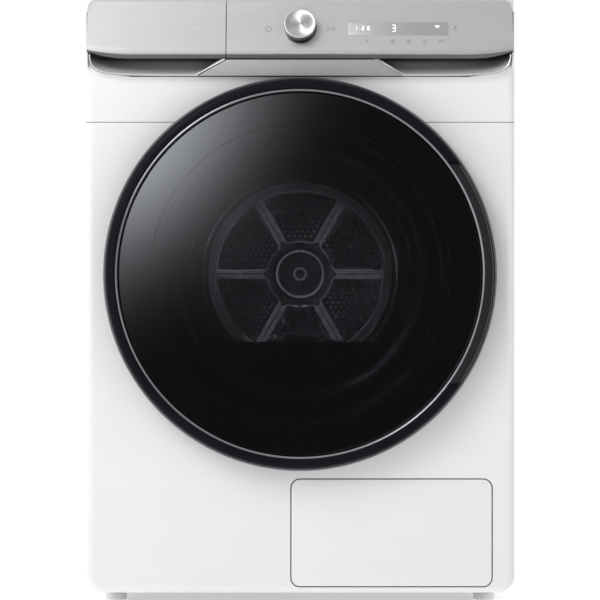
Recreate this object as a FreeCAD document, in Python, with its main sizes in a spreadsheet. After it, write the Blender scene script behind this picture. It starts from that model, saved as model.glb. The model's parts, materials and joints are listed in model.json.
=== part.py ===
import FreeCAD, Part
import Sketcher
import math
import os
import re

# Front-loading heat pump dryer, millimetres. Origin: middle of the footprint, on the floor.
# +Z is up, the front faces -Y, +X is to the right when seen from the front.

SIZES = {
    # cabinet
    "half_width": 300, "panel_front": -275, "cabinet_back": 312, "cabinet_low": 15,
    "side_top": 828, "sheet": 1.5, "low_corner": 24, "front_corner": 12, "front_depth": 14,
    "seam_height": 672, "seam_gap": 0.8, "worktop_top": 850, "worktop_front": -258,
    "worktop_edge": 4, "duct_radius": 185, "object_back": 325,
    # control fascia
    "fascia_half": 297, "lip_front": -290, "lip_height": 765.5, "fascia_top": 844,
    "fascia_top_front": -263, "fascia_skin": 3.4, "lip_rise": 5.5, "fascia_corner": 12,
    "drawer_seam": -103, "drawer_gap": 1.2, "trim_front": -286, "trim_back": -259,
    "trim_low": 736.5, "trim_top": 759, "trim_half": 293.5, "diagonal_low": 144,
    "knob_radius": 22, "knob_length": 17, "knob_height": 803.5, "encoder_shaft": 3,
    # water tank
    "tank_left": -286, "tank_right": -112, "tank_back": 210, "tank_low": 772,
    "tank_high": 820, "tank_wall": 3,
    # door; depths are counted forward from the front panel
    "axis_height": 460.7, "opening_radius": 208, "ring_radius": 273, "glass_radius": 250.6,
    "glass_depth": 50, "glass_edge": 45.1, "glass_thick": 4, "bowl_radius": 204,
    "bowl_floor_radius": 172, "bowl_depth": 39, "hinge_across": -257, "hinge_depth": 22.5,
    "hinge_pin_radius": 3, "hinge_slot": 26, "grip_half": 55, "running_gap": 0.05,
    # drum; depths are negative behind the front panel
    "drum_radius": 281.5, "drum_front": -25, "drum_back": -503, "drum_lip": 269.2,
    "wheel_radius": 145.6, "shaft_radius": 12, "sleeve_radius": 266, "housing_top": 364,
    "roller_radius": 25, "roller_angle": 30, "roller_front": -222, "roller_width": 14,
    "roller_axle": 6, "belt_thick": 2.2, "belt_width": 12, "belt_gap": 0.3,
    "motor_across": -170, "motor_height": 105, "motor_shaft": 8, "pulley_radius": 10,
    # service access
    "cover_left": -12, "cover_right": 267.4, "cover_low": 25, "cover_high": 174,
    "cover_corner": 12, "cover_gap": 1.5, "cover_thick": 2.5,
    # base
    "base_half": 280, "base_front": -258, "base_back": 306, "base_floor": 17,
    "base_top": 150, "base_wall": 4, "foot_across": 260, "foot_front": -215,
    "foot_rear": 262, "foot_radius": 15, "foot_stem": 5,
}

doc = FreeCAD.newDocument("ClothesDryer")
sheet = doc.addObject("Spreadsheet::Sheet", "Dims")
for row, (alias, number) in enumerate(SIZES.items(), start=1):
    sheet.set("A%d" % row, alias)
    sheet.set("B%d" % row, str(number))
    sheet.setAlias("B%d" % row, alias)
doc.recompute()

NODES = []
FRONT, BACK = "panel_front", "cabinet_back"


def bound(formula):
    """The formula with each driving dimension read from the spreadsheet."""
    return re.sub(r"[a-z_]{3,}", lambda word: "Dims." + word.group() if word.group() in SIZES
                  else word.group(), str(formula))


def value(formula):
    """A formula's number, for pieces that Part's own functions make."""
    number = re.sub(r"[a-z_]{3,}", lambda word: str(SIZES[word.group()]), formula)
    total = 0.0
    for term in re.findall(r"[+-]?\s*[\d.]+", number.replace("--", "+")):
        total += float(term.replace(" ", ""))
    return total


def bind(thing, **formulas):
    for name, formula in formulas.items():
        thing.setExpression(name.replace("__", "."), bound(formula))


def node(thing, name):
    """Names a finished sub-part and puts it on the list of pieces."""
    thing.Label = name
    NODES.append(thing)
    return thing


def block(name, across, along, up):
    """A box between two X, two Y and two Z planes."""
    thing = doc.addObject("Part::Box", name)
    lows = (across[0], along[0], up[0])
    bind(thing, Length="(%s) - (%s)" % (across[1], across[0]),
         Width="(%s) - (%s)" % (along[1], along[0]), Height="(%s) - (%s)" % (up[1], up[0]))
    for letter, low in zip("xyz", lows):
        thing.setExpression("Placement.Base." + letter, bound(low))
    return thing


def rod(name, radius, start, length, direction="y"):
    """A cylinder that runs from start along +X, +Y or +Z."""
    thing = doc.addObject("Part::Cylinder", name)
    turns = {"x": ((0, 1, 0), 90), "y": ((1, 0, 0), -90), "z": ((0, 0, 1), 0)}
    turn_axis, angle = turns[direction]
    thing.Placement = FreeCAD.Placement(FreeCAD.Vector(), FreeCAD.Rotation(FreeCAD.Vector(*turn_axis), angle))
    bind(thing, Radius=radius, Height=length)
    for letter, low in zip("xyz", start):
        thing.setExpression("Placement.Base." + letter, bound(low))
    return thing


def cut(name, base, *tools):
    thing = doc.addObject("Part::Cut", name)
    thing.Base = base
    thing.Tool = tools[0] if len(tools) == 1 else join(name + "_tools", *tools)
    return thing


def join(name, *pieces):
    thing = doc.addObject("Part::MultiFuse", name)
    thing.Shapes = list(pieces)
    return thing


def overlap(name, *pieces):
    thing = doc.addObject("Part::MultiCommon", name)
    thing.Shapes = list(pieces)
    return thing


def group(name, *pieces):
    """Separate solids that share one node."""
    thing = doc.addObject("Part::Compound", name)
    thing.Links = list(pieces)
    return thing


def origin_plane(body, role):
    for feature in body.Origin.OriginFeatures:
        if feature.Role == role:
            return feature
    raise ValueError(role)


def outline_sketch(body, role, name, corners):
    """A closed outline of straight lines, each corner tied to the spreadsheet."""
    sketch = body.newObject("Sketcher::SketchObject", name)
    sketch.AttachmentSupport = [(origin_plane(body, role), "")]
    sketch.MapMode = "FlatFace"
    count = len(corners)
    for index in range(count):
        turn = 2 * math.pi / count
        ends = [FreeCAD.Vector(math.cos(turn * step), math.sin(turn * step), 0)
                for step in (index, index + 1)]
        sketch.addGeometry(Part.LineSegment(*ends), False)
    for index in range(count):
        sketch.addConstraint(Sketcher.Constraint("Coincident", index, 2, (index + 1) % count, 1))
    for index, corner in enumerate(corners):
        for kind, formula in zip(("DistanceX", "DistanceY"), corner):
            place = sketch.addConstraint(Sketcher.Constraint(kind, -1, 1, index, 1, 1.0))
            sketch.setExpression("Constraints[%d]" % place, bound(formula))
    return sketch


def slab(name, plane, corners, low, high):
    """A padded outline: "XZ" padded along Y, "YZ" along X or "XY" along Z, from low to high."""
    body = doc.addObject("PartDesign::Body", name)
    sketch = outline_sketch(body, plane + "_Plane", name + "_outline", corners)
    pad = body.newObject("PartDesign::Pad", name + "_pad")
    pad.Profile = sketch
    bind(pad, Length="(%s) - (%s)" % (high, low))
    if plane == "XZ":
        body.setExpression("Placement.Base.y", bound(high))
    if plane == "YZ":
        body.setExpression("Placement.Base.x", bound(low))
    if plane == "XY":
        body.setExpression("Placement.Base.z", bound(low))
    return body


def rounded(body, radius, chosen):
    """Rounds the body's edges that the test picks."""
    doc.recompute()
    base = body.Tip
    names = ["Edge%d" % (index + 1) for index, edge in enumerate(base.Shape.Edges) if chosen(edge)]
    fillet = body.newObject("PartDesign::Fillet", body.Name + "_round%d" % len(body.Group))
    fillet.Base = (base, names)
    bind(fillet, Radius=radius)
    body.Tip = fillet
    return body


def runs_along(edge, direction):
    ends = [vertex.Point for vertex in edge.Vertexes]
    if len(ends) < 2:
        return False
    span = ends[1] - ends[0]
    return abs(getattr(span, direction)) > 0.99 * span.Length > 0


def turned(name, profile, angle=360):
    """A profile of (radius, forward depth) corners turned about the drum's axis."""
    body = doc.addObject("PartDesign::Body", name)
    sketch = outline_sketch(body, "XZ_Plane", name + "_profile", profile)
    turn = body.newObject("PartDesign::Revolution", name + "_turn")
    turn.Profile = sketch
    turn.ReferenceAxis = (sketch, ["V_Axis"])
    turn.Angle = angle
    turn.Midplane = angle < 360
    body.Placement = FreeCAD.Placement(FreeCAD.Vector(), FreeCAD.Rotation(FreeCAD.Vector(1, 0, 0), 90))
    body.setExpression("Placement.Base.y", bound(FRONT))
    body.setExpression("Placement.Base.z", bound("axis_height"))
    return body


def turned_at(name, profile, across, height, along=FRONT):
    """The same about another axis parallel to Y."""
    body = turned(name, profile)
    body.setExpression("Placement.Base.x", bound(across))
    body.setExpression("Placement.Base.y", bound(along))
    body.setExpression("Placement.Base.z", bound(height))
    return body


def upright(name, profile, across, along, low="0"):
    """A profile of (radius, height) corners turned about a vertical axis."""
    body = turned(name, profile)
    body.Placement = FreeCAD.Placement()
    for letter, formula in zip("xyz", (across, along, low)):
        body.setExpression("Placement.Base." + letter, bound(formula))
    return body


def ahead(depth):
    """The Y plane that lies this far in front of the front panel."""
    return "panel_front - (%s)" % depth


def swung(thing, centre, angle):
    """Turns a piece about a line through centre that runs parallel to Y."""
    doc.recompute()
    place = thing.Placement
    for letter in "xyz":
        thing.setExpression("Placement.Base." + letter, None)
    turn = FreeCAD.Rotation(FreeCAD.Vector(0, 1, 0), angle)
    thing.Placement = FreeCAD.Placement(centre - turn.multVec(centre), turn).multiply(place)
    return thing


def cabinet_block(name, inset, high, back):
    """The cabinet's outer form, or the space inside its sheet metal."""
    corners = [("-half_width + %s" % inset, "cabinet_low + %s" % inset),
               ("half_width - %s" % inset, "cabinet_low + %s" % inset),
               ("half_width - %s" % inset, high), ("-half_width + %s" % inset, high)]
    body = slab(name, "XZ", corners, "panel_front + %s" % inset, back)
    top = value(high) - 1
    rounded(body, "low_corner - %s" % inset,
            lambda edge: runs_along(edge, "y") and edge.BoundBox.ZMax < top)
    doc.recompute()
    front = body.Tip.Shape.BoundBox.YMin
    rounded(body, "front_corner - %s" % inset,
            lambda edge: edge.BoundBox.YMax < front + 0.01 and edge.BoundBox.ZMin < top)
    return body


def cabinet_panels():
    form = cabinet_block("cabinet_form", "0", "side_top", BACK)
    core = cabinet_block("cabinet_core", "sheet", "side_top + 5", BACK + " + 5")
    shell = cut("cabinet_shell", form, core)
    seam = "panel_front + front_depth"
    return_edge = "half_width - 32"
    for side, across in (("left", ("-half_width - 1", "-(%s)" % return_edge)),
                         ("right", (return_edge, "half_width + 1"))):
        region = block(side + "_side_region", across, (seam + " + 0.5", BACK), ("0", "side_top"))
        node(overlap(side + "_side", shell, region), side + "_side_panel")
    wide = ("-half_width - 1", "half_width + 1")
    opening = rod("door_opening", "opening_radius", ("0", FRONT + " - 1", "axis_height"), "front_depth")
    lower = overlap("lower_front_sheet", shell,
                    block("lower_region", wide, (FRONT + " - 1", seam), ("0", "seam_height")))
    access = cover_outline("service_opening", "cover_gap", FRONT + " - 1", FRONT + " + 5")
    latch_slot = block("latch_slot", ("225.5", "247.5"), (FRONT + " - 1", FRONT + " + 4"),
                       ("axis_height - 12.7", "axis_height + 13.3"))
    node(cut("lower_front", lower, opening, access, latch_slot), "lower_front_panel")
    strip_region = block("upper_region", wide, (FRONT + " - 1", seam),
                         ("seam_height + seam_gap", "lip_height"))
    upper = overlap("upper_front_sheet", shell, strip_region)
    right_half = [("235", "trim_low - 0.8"), ("trim_half - 20", "trim_low + 4.2"),
                  ("trim_half - 2.5", "trim_low + 17"), ("trim_half + 1.6", "lip_height + 6")]
    left_half = [("-(%s)" % across, height) for across, height in reversed(right_half)]
    notch = slab("trim_notch", "XZ", left_half + right_half, FRONT + " - 1", seam + " + 1")
    node(cut("upper_front", upper, notch), "upper_front_strip")


def rear():
    centre = FreeCAD.Vector(0, 0, SIZES["axis_height"])
    slots = [swung(block("air_slot%d" % step, ("-14", "14"), ("300", "320"),
                         ("axis_height + 70", "axis_height + 150")), centre, 45 * step) for step in range(8)]
    plate = block("rear_plate", ("-half_width + 1.7", "half_width - 1.7"), ("309.5", "311"),
                  ("cabinet_low + low_corner", "side_top"))
    node(cut("rear", plate, *slots), "rear_panel")
    outer = join("duct_outer", rod("duct_disc", "duct_radius", ("0", "311.1", "axis_height"),
                                   "object_back - 311.1"),
                 block("duct_leg", ("20", "170"), ("311.1", "object_back"), ("60", "axis_height")))
    inner = join("duct_inner", rod("duct_disc_inner", "duct_radius - 2", ("0", "300", "axis_height"),
                                   "object_back - 302"),
                 block("duct_leg_inner", ("22", "168"), ("300", "object_back - 2"), ("62", "axis_height")))
    node(cut("duct", outer, inner), "rear_duct_cover")
    gland = block("inlet_body", ("-270", "-215"), ("311.1", "319"), ("95", "150"))
    hole = rod("inlet_hole", "5", ("-242", "311", "122"), "10")
    node(cut("inlet", gland, hole), "power_inlet")


def worktop():
    corners = [("-half_width", "worktop_front"), ("half_width", "worktop_front"),
               ("half_width", BACK), ("-half_width", BACK)]
    body = slab("worktop_slab", "XY", corners, "side_top + 0.3", "worktop_top")
    front = SIZES["worktop_front"] + 1
    rounded(body, "front_corner", lambda edge: runs_along(edge, "z") and edge.BoundBox.YMax < front)
    doc.recompute()
    top = body.Tip.Shape.BoundBox.ZMax - 0.01
    rounded(body, "worktop_edge", lambda edge: edge.BoundBox.ZMin > top)
    node(body, "worktop")


def fascia():
    """The tilted fascia, divided at the drawer's seam into drawer front and control fascia."""
    wedge = slab("fascia_wedge", "YZ", [("lip_front", "lip_height - 2"), ("fascia_top_front", "fascia_top"),
                                        ("worktop_front - 0.4", "fascia_top"),
                                        ("worktop_front - 0.4", "lip_height - 2")],
                 "-fascia_half", "fascia_half")
    right_end = [("228", "lip_height"), ("fascia_half - 25", "lip_height + 2"),
                 ("fascia_half", "lip_height + lip_rise"), ("fascia_half", "fascia_top")]
    left_end = [("-(%s)" % across, height) for across, height in reversed(right_end)]
    face = slab("fascia_face", "XZ", right_end + left_end, "lip_front - 5", "worktop_front")
    middle = (SIZES["lip_height"] + SIZES["fascia_top"]) / 2
    rounded(face, "fascia_corner",
            lambda edge: runs_along(edge, "y") and edge.BoundBox.ZMin > middle)
    hollow = slab("fascia_hollow", "YZ", [("lip_front + fascia_skin - 1", "lip_height - 5"),
                                          ("fascia_top_front + fascia_skin - 2", "fascia_top - 6"),
                                          ("worktop_front", "fascia_top - 6"),
                                          ("worktop_front", "lip_height - 5")],
                  "-fascia_half + 4", "fascia_half - 4")
    nose = cut("fascia_nose", overlap("fascia_solid", wedge, face), hollow)
    tall = ("lip_front - 6", "worktop_front + 1")
    heights = ("lip_height - 5", "fascia_top + 1")
    left = block("drawer_region", ("-half_width", "drawer_seam - drawer_gap / 2"), tall, heights)
    right = block("fascia_region", ("drawer_seam + drawer_gap / 2", "half_width"), tall, heights)
    window = on_fascia(block("window_pocket", ("66.9", "207.1"), ("-11.2", "9.1"), ("-1.05", "3")))
    shaft_hole = on_fascia(rod("shaft_hole", "encoder_shaft + 0.6", ("0", "0", "-8"), "14", "z"))
    node(overlap("drawer_face", nose, left), "tank_drawer_front")
    node(cut("fascia_piece", overlap("fascia_right", nose, right), window, shaft_hole), "control_fascia")
    node(on_fascia(block("window", ("67", "207"), ("-11.1", "9"), ("-1", "0"))), "display_window")
    board = on_fascia(block("board", ("-20", "212"), ("-20", "14"), ("-10", "-8.4")))
    encoder = on_fascia(block("encoder_case", ("-7", "7"), ("-7", "7"), ("-8.4", "-3.6")))
    shaft = on_fascia(rod("encoder_rod", "encoder_shaft", ("0", "0", "-3.6"), "15.6", "z"))
    node(join("controls", board, encoder, shaft), "control_board")
    knob = on_fascia(rod("knob_body", "knob_radius", ("0", "0", "0.5"), "knob_length - 0.5", "z"))
    bore = on_fascia(rod("knob_bore", "encoder_shaft + running_gap", ("0", "0", "0"), "12.2", "z"))
    node(cut("knob", knob, bore), "selector_knob")


def on_fascia(thing):
    """Moves a piece from the fascia's own frame: X across, Y up the face, Z out of the face."""
    rise = SIZES["fascia_top"] - SIZES["lip_height"]
    lean = SIZES["fascia_top_front"] - SIZES["lip_front"]
    tilt = math.degrees(math.atan2(lean, rise))
    height = SIZES["knob_height"]
    along = SIZES["lip_front"] + (height - SIZES["lip_height"]) * lean / rise
    doc.recompute()
    place = thing.Placement
    for letter in "xyz":
        thing.setExpression("Placement.Base." + letter, None)
    frame = FreeCAD.Placement(FreeCAD.Vector(0, along, height),
                              FreeCAD.Rotation(FreeCAD.Vector(1, 0, 0), 90 - tilt))
    thing.Placement = frame.multiply(place)
    return thing


def grip_cup(name, side, inset):
    """One end of the trim: a scoop for the fingers under the fascia's lip."""
    seam = "%s * (103 + drawer_gap / 2 + %s)" % (side, inset)
    corners = [(seam, "trim_top"), ("%s * (diagonal_low + %s)" % (side, inset), "trim_low + %s" % inset),
               ("%s * 235" % side, "trim_low + 1 + %s" % inset),
               ("%s * (trim_half - 19 - %s / 2)" % (side, inset), "trim_low + 5 + %s" % inset),
               ("%s * (trim_half - 3.5 - %s)" % (side, inset), "trim_low + 17"),
               ("%s * (trim_half - %s)" % (side, inset), "lip_height"),
               ("%s * 270" % side, "trim_top + 2"), (seam, "trim_top + 1")]
    return slab(name, "XZ", corners, "trim_front", "trim_back")


def grips():
    scoop = [("trim_front - 1", "trim_low + 2.6"), ("trim_front + 6", "trim_low + 4.4"),
             ("trim_front + 14", "trim_low + 9.6"), ("trim_front + 21", "trim_low + 18"),
             ("trim_front + 24.5", "trim_low + 32"), ("trim_front - 1", "trim_low + 32")]
    for side, name in (("-1", "drawer_grip"), ("1", "right_grip")):
        outer = grip_cup(name + "_outer", side, "0")
        low, high = ("-trim_half + 3.2", "-123") if side == "-1" else ("123", "trim_half - 3.2")
        hollow = slab(name + "_scoop", "YZ", scoop, low, high)
        node(cut(name + "_cup", outer, hollow), name)
    strip = [("drawer_seam + drawer_gap", "trim_top"), ("-diagonal_low + drawer_gap + 1", "trim_low"),
             ("diagonal_low - 0.5", "trim_low"), ("103 + drawer_gap / 2 - 0.5", "trim_top")]
    node(slab("strip", "XZ", strip, "trim_front", FRONT + " + 6"), "trim_strip")


def water_tank():
    wall = "tank_wall"
    outer = block("tank_outer", ("tank_left", "tank_right"), ("trim_back", "tank_back"),
                  ("tank_low", "tank_high"))
    inner = block("tank_inner", ("tank_left + " + wall, "tank_right - " + wall),
                  ("trim_back + " + wall, "tank_back - " + wall),
                  ("tank_low + " + wall, "tank_high - " + wall))
    spout = block("tank_spout", ("-220", "-182"), ("152", "190"), ("tank_high - 6", "tank_high + 4"))
    node(cut("tank", outer, inner, spout), "water_tank")
    tray = block("tray", ("tank_left - 6", "tank_right + 6"), ("-250", "250"), ("766", "812"))
    space = block("tray_space", ("tank_left - 3", "tank_right + 3"), ("-251", "232"), ("769.5", "813"))
    node(cut("guide", tray, space), "tank_guide")


def door_shell():
    profile = [("263", "3"), ("266", "3"), ("271", "8"), ("ring_radius", "15"), ("ring_radius", "30"),
               ("270", "40"), ("265", "46"), ("258", "47.5"), ("255.5", "47.5"), ("255.5", "41"),
               ("246", "41"),
               ("246", "38"), ("262", "38"), ("267", "34"), ("269.7", "29"), ("269.7", "15.5"),
               ("267.5", "9.6"), ("263", "5.5")]
    ring = turned("ring_form", profile)
    groove = turned("handle_groove",
                    [("255.4", "44.4"), ("266.7", "44.4"), ("266.7", "52"), ("255.4", "52")], 73)
    side_notch = block("handle_notch", ("250.5", "280"), (ahead("22.7"), ahead("-2")),
                       ("axis_height - grip_half - 0.4", "axis_height + grip_half + 0.4"))
    hinge_notch = block("hinge_notch", ("-280", "-224"), (ahead("24.5"), ahead("-2")),
                        ("axis_height - hinge_slot", "axis_height + hinge_slot"))
    node(cut("ring", ring, groove, side_notch, hinge_notch), "door_outer_ring")
    accent = [("250.9", "41.1"), ("255.3", "41.1"), ("255.3", "48"), ("250.9", "47.4")]
    node(turned("accent", accent), "door_accent_ring")
    plate = turned("handle_plate",
                   [("255.5", "44.5"), ("266.5", "44.5"), ("264.8", "46.8"), ("255.5", "47.9")], 72)
    half = "grip_half"
    cup_block = block("cup_block", ("251", "274"), (ahead("22.5"), ahead("3.5")),
                      ("axis_height - " + half, "axis_height + " + half))
    cup_space = block("cup_space", ("254", "280"), (ahead("20"), ahead("-1")),
                      ("axis_height - grip_half + 2.5", "axis_height + grip_half - 2.5"))
    limit = rod("cup_limit", "ring_radius - 0.3", ("0", ahead("25"), "axis_height"), "30")
    cup = overlap("cup_round", cut("cup_form", cup_block, cup_space), limit)
    node(group("handle", plate, cup), "door_handle")


def door_inside():
    liner = turned("liner_form", [("205", "3"), ("262.8", "3"), ("262.8", "6"), ("205", "6")])
    hinge_space = block("liner_hinge", ("-280", "-222"), (ahead("24.5"), ahead("-2")),
                        ("axis_height - hinge_slot - 0.5", "axis_height + hinge_slot + 0.5"))
    handle_space = block("liner_handle", ("250.5", "280"), (ahead("24.5"), ahead("-2")),
                         ("axis_height - grip_half - 0.5", "axis_height + grip_half + 0.5"))
    node(cut("liner", liner, hinge_space, handle_space), "door_inner_liner")
    node(turned("seal", [("210", "0.5"), ("220", "0.5"), ("218", "2.95"), ("212", "2.95")]), "door_seal")
    bowl = [("0", "-bowl_depth"), ("bowl_floor_radius", "-bowl_depth + 2"), ("200", "-10"),
            ("bowl_radius", "6.1"), ("217.5", "6.1"), ("217.5", "9"), ("200", "9"), ("196", "-9"),
            ("bowl_floor_radius - 2", "-33"), ("0", "-35")]
    node(turned("bowl", bowl), "door_bowl")
    hook = block("hook_arm", ("229", "243"), (ahead("3"), ahead("-10.5")),
                 ("axis_height - 8.7", "axis_height + 8.3"))
    bite = block("hook_bite", ("228", "244"), (ahead("-3"), ahead("-7")),
                 ("axis_height - 9", "axis_height - 4"))
    node(cut("hook", hook, bite), "door_latch_hook")


def glass():
    """The tinted pane: a shallow dome between its edge and its middle."""
    steps = 6
    shares = [step / steps for step in range(steps + 1)]
    front = [("glass_radius * %.4f" % share,
              "glass_depth - (glass_depth - glass_edge) * %.4f" % share ** 2) for share in shares]
    back = [(across, depth + " - glass_thick") for across, depth in reversed(front)]
    node(turned("glass_pane", front + back), "door_glass")


def hinge():
    """The arm on the cabinet runs diagonally from the front panel to the pin inside the ring."""
    pin_y = ahead("hinge_depth")
    low, high = "axis_height - 24", "axis_height + 24"
    knuckle = rod("arm_knuckle", "6", ("hinge_across", pin_y, low), "48", "z")
    web = slab("arm_web", "XY",
               [("hinge_across - 1.8", pin_y + " + 2"), ("hinge_across + 1.8", pin_y + " - 2"),
                ("hinge_across + 24.3", FRONT + " - 1"), ("hinge_across + 20.5", FRONT)],
               low, high)
    foot = block("arm_foot", ("-245", "-226"), (ahead("2"), FRONT), (low, high))
    bore = rod("arm_bore", "hinge_pin_radius", ("hinge_across", pin_y, "axis_height - 40"), "80", "z")
    node(cut("arm", join("arm_form", knuckle, web, foot), bore), "hinge_arm")
    node(rod("pin", "hinge_pin_radius", ("hinge_across", pin_y, "axis_height - 37.5"), "75", "z"),
         "hinge_pin")
    leaf = [block("leaf_plate", ("-261", "-228"), (ahead("33"), ahead("29.5")),
                  ("axis_height - 42", "axis_height + 42"))]
    for name, start in (("upper", "axis_height + 24.5"), ("lower", "axis_height - 37.5")):
        leaf.append(rod(name + "_knuckle", "6", ("hinge_across", pin_y, start), "13", "z"))
        leaf.append(block(name + "_web", ("hinge_across - 3", "hinge_across + 5.5"),
                          (ahead("30"), ahead("25")), (start, start + " + 13")))
    bore = rod("leaf_bore", "hinge_pin_radius + running_gap",
               ("hinge_across", pin_y, "axis_height - 45"), "90", "z")
    node(cut("leaf", join("leaf_form", *leaf), bore), "door_hinge_leaf")


def latch():
    case = block("latch_case", ("222", "251"), (FRONT + " + 1.6", FRONT + " + 12.8"),
                 ("axis_height - 28", "axis_height + 20"))
    space = block("latch_space", ("225.5", "247.5"), (FRONT + " + 1", FRONT + " + 11.3"),
                  ("axis_height - 12.7", "axis_height + 13.3"))
    well = block("latch_well", ("231.5", "240.5"), (FRONT + " + 3.5", FRONT + " + 9.5"),
                 ("axis_height - 24", "axis_height - 12"))
    node(cut("latch", case, space, well), "latch_housing")
    node(block("catch", ("231.8", "240.2"), (FRONT + " + 3.8", FRONT + " + 9.2"),
               ("axis_height - 19", "axis_height - 9.2")), "latch_catch")


def drum():
    shell = [("drum_lip", "drum_front"), ("drum_radius", "drum_front"), ("drum_radius", "drum_back"),
             ("wheel_radius + 0.4", "drum_back"), ("wheel_radius + 0.4", "drum_back + sheet"),
             ("drum_radius - sheet", "drum_back + sheet"), ("drum_radius - sheet", "drum_front - sheet"),
             ("drum_lip", "drum_front - sheet")]
    node(turned("shell", shell), "drum_shell")
    rim = [("0", "drum_back"), ("wheel_radius + 0.4", "drum_back"), ("wheel_radius + 0.4", "drum_back + 7"),
           ("wheel_radius - 6", "drum_back + 9"), ("wheel_radius - 8", "drum_back + sheet"),
           ("0", "drum_back + sheet")]
    wheel = [turned("wheel_form", rim)]
    axis = FreeCAD.Vector(0, 0, SIZES["axis_height"])
    for step in range(6):
        spoke = block("spoke%d" % step, ("50", "wheel_radius - 4"),
                      (ahead("drum_back + 6.5"), ahead("drum_back + 1.5")),
                      ("axis_height - 7", "axis_height + 7"))
        wheel.append(swung(spoke, axis, 60 * step))
    node(join("wheel", *wheel), "drum_rear_wheel")
    hub = [("0", "drum_back + 23"), ("9", "drum_back + 23"), ("12", "drum_back + 19"),
           ("36", "drum_back + 17"),
           ("48", "drum_back + 13"), ("48", "drum_back + sheet"), ("0", "drum_back + sheet")]
    node(turned("hub", hub), "drum_hub")
    shaft = [("0", "drum_back - 0.1"), ("38", "drum_back - 0.1"), ("38", "drum_back - 5"),
             ("shaft_radius", "drum_back - 5"), ("shaft_radius", "drum_back - 78"), ("0", "drum_back - 78")]
    node(turned("drum_stub", shaft), "drum_shaft")
    bearing = [("shaft_radius + running_gap", "-560"), ("30", "-560"), ("30", "-576"), ("66", "-576"),
               ("66", "-584.4"), ("shaft_radius + running_gap", "-584.4")]
    node(turned("bearing_housing", bearing), "rear_bearing")
    foot, crest = "axis_height - drum_radius + 4", "axis_height - drum_radius + 50"
    section = [("-34", foot), ("34", foot), ("12", crest), ("-12", crest)]
    lifters = [swung(slab("lifter%d" % step, "XZ", section, ahead("-88"), ahead("-458")), axis, 120 * step)
               for step in range(3)]
    node(group("lifter_group", *lifters), "drum_lifters")


def drum_front():
    plate = block("bulkhead_plate", ("-half_width + 15", "half_width - 15"), (ahead("-13"), ahead("-17")),
                  ("176", "730"))
    mouth = rod("bulkhead_mouth", "opening_radius", ("0", ahead("5"), "axis_height"), "70")
    collar = turned("mouth_collar", [("opening_radius", "-2"), ("opening_radius + 3", "-2"),
                                     ("opening_radius + 3", "-46"), ("opening_radius", "-46")])
    sleeve = turned("drum_sleeve", [("sleeve_radius - 4", "-16"), ("sleeve_radius", "-16"),
                                    ("sleeve_radius", "-53"), ("sleeve_radius - 4", "-53")])
    disc = rod("sill_disc", "opening_radius + 3", ("0", ahead("-43"), "axis_height"), "3")
    low_half = block("sill_region", ("-250", "250"), (ahead("-42"), ahead("-47")),
                     ("200", "housing_top"))
    sill = overlap("sill", disc, low_half)
    latch_space = block("bulkhead_latch", ("220", "253"), (ahead("-12"), ahead("-18")),
                        ("axis_height - 29", "axis_height + 21"))
    node(join("bulkhead", cut("bulkhead_cut", plate, mouth, latch_space), collar, sleeve, sill),
         "front_bulkhead")
    felt = [("sleeve_radius + 0.1", "-23"), ("drum_lip - 0.4", "-23"), ("drum_lip - 0.4", "-38"),
            ("sleeve_radius + 0.1", "-38")]
    node(turned("felt", felt), "drum_felt_seal")
    housing = block("filter_case", ("-100", "100"), (ahead("-46.1"), ahead("-85")), ("236", "housing_top"))
    slot = block("filter_slot", ("-92.5", "92.5"), (ahead("-51"), ahead("-79")), ("241", "370"))
    louvres = [block("louvre%d" % step, ("-84", "84"), (ahead("-75"), ahead("-90")),
                     (str(256 + 20 * step), str(266 + 20 * step))) for step in range(5)]
    node(cut("filter_box", housing, slot, *louvres), "filter_housing")
    frame = block("filter_frame", ("-91.5", "91.5"), (ahead("-52"), ahead("-78")), ("242", "362"))
    inside = block("filter_inside", ("-89", "89"), (ahead("-54"), ahead("-76")), ("245", "365"))
    tab = block("filter_tab", ("-22", "22"), (ahead("-52"), ahead("-54")), ("355", "374"))
    node(join("filter", cut("filter_net", frame, inside), tab), "lint_filter")


def rollers():
    angle = math.radians(SIZES["roller_angle"])
    reach = SIZES["drum_radius"] + SIZES["roller_radius"] + 0.4
    height = "%.3f" % (SIZES["axis_height"] - reach * math.cos(angle))
    axles = []
    for side, name in ((-1, "left"), (1, "right")):
        across = "%.3f" % (side * reach * math.sin(angle))
        tyre = rod("tyre_" + name, "roller_radius", (across, "roller_front", height), "roller_width")
        bore = rod("roller_bore_" + name, "roller_axle + running_gap", (across, "roller_front - 1", height),
                   "roller_width + 2")
        node(cut("roller_" + name + "_cut", tyre, bore), "roller_" + name)
        collar = rod("axle_collar_" + name, "11", (across, ahead("-17"), height),
                     "roller_front - 0.4 - panel_front - 17")
        axle = rod("axle_" + name, "roller_axle", (across, ahead("-17"), height), "58")
        axles.append(join("axle_joined_" + name, collar, axle))
    node(group("axle_pair", *axles), "roller_axles")


def wrap(big, small, centre):
    """The face inside a belt that runs round a large and a small circle."""
    reach = centre.Length
    lean = math.acos((big - small) / reach)
    heading = math.atan2(centre.z, centre.x)
    corners = []
    for side in (1, -1):
        ray = FreeCAD.Vector(math.cos(heading + side * lean), 0, math.sin(heading + side * lean))
        corners.append((ray * big, centre + ray * small))
    (big_a, small_a), (big_b, small_b) = corners
    inward = FreeCAD.Vector(math.cos(heading), 0, math.sin(heading))
    edges = [Part.Arc(big_a, inward * -big, big_b).toShape(),
             Part.LineSegment(big_b, small_b).toShape(),
             Part.Arc(small_b, centre + inward * small, small_a).toShape(),
             Part.LineSegment(small_a, big_a).toShape()]
    return Part.Face(Part.Wire(edges))


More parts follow.
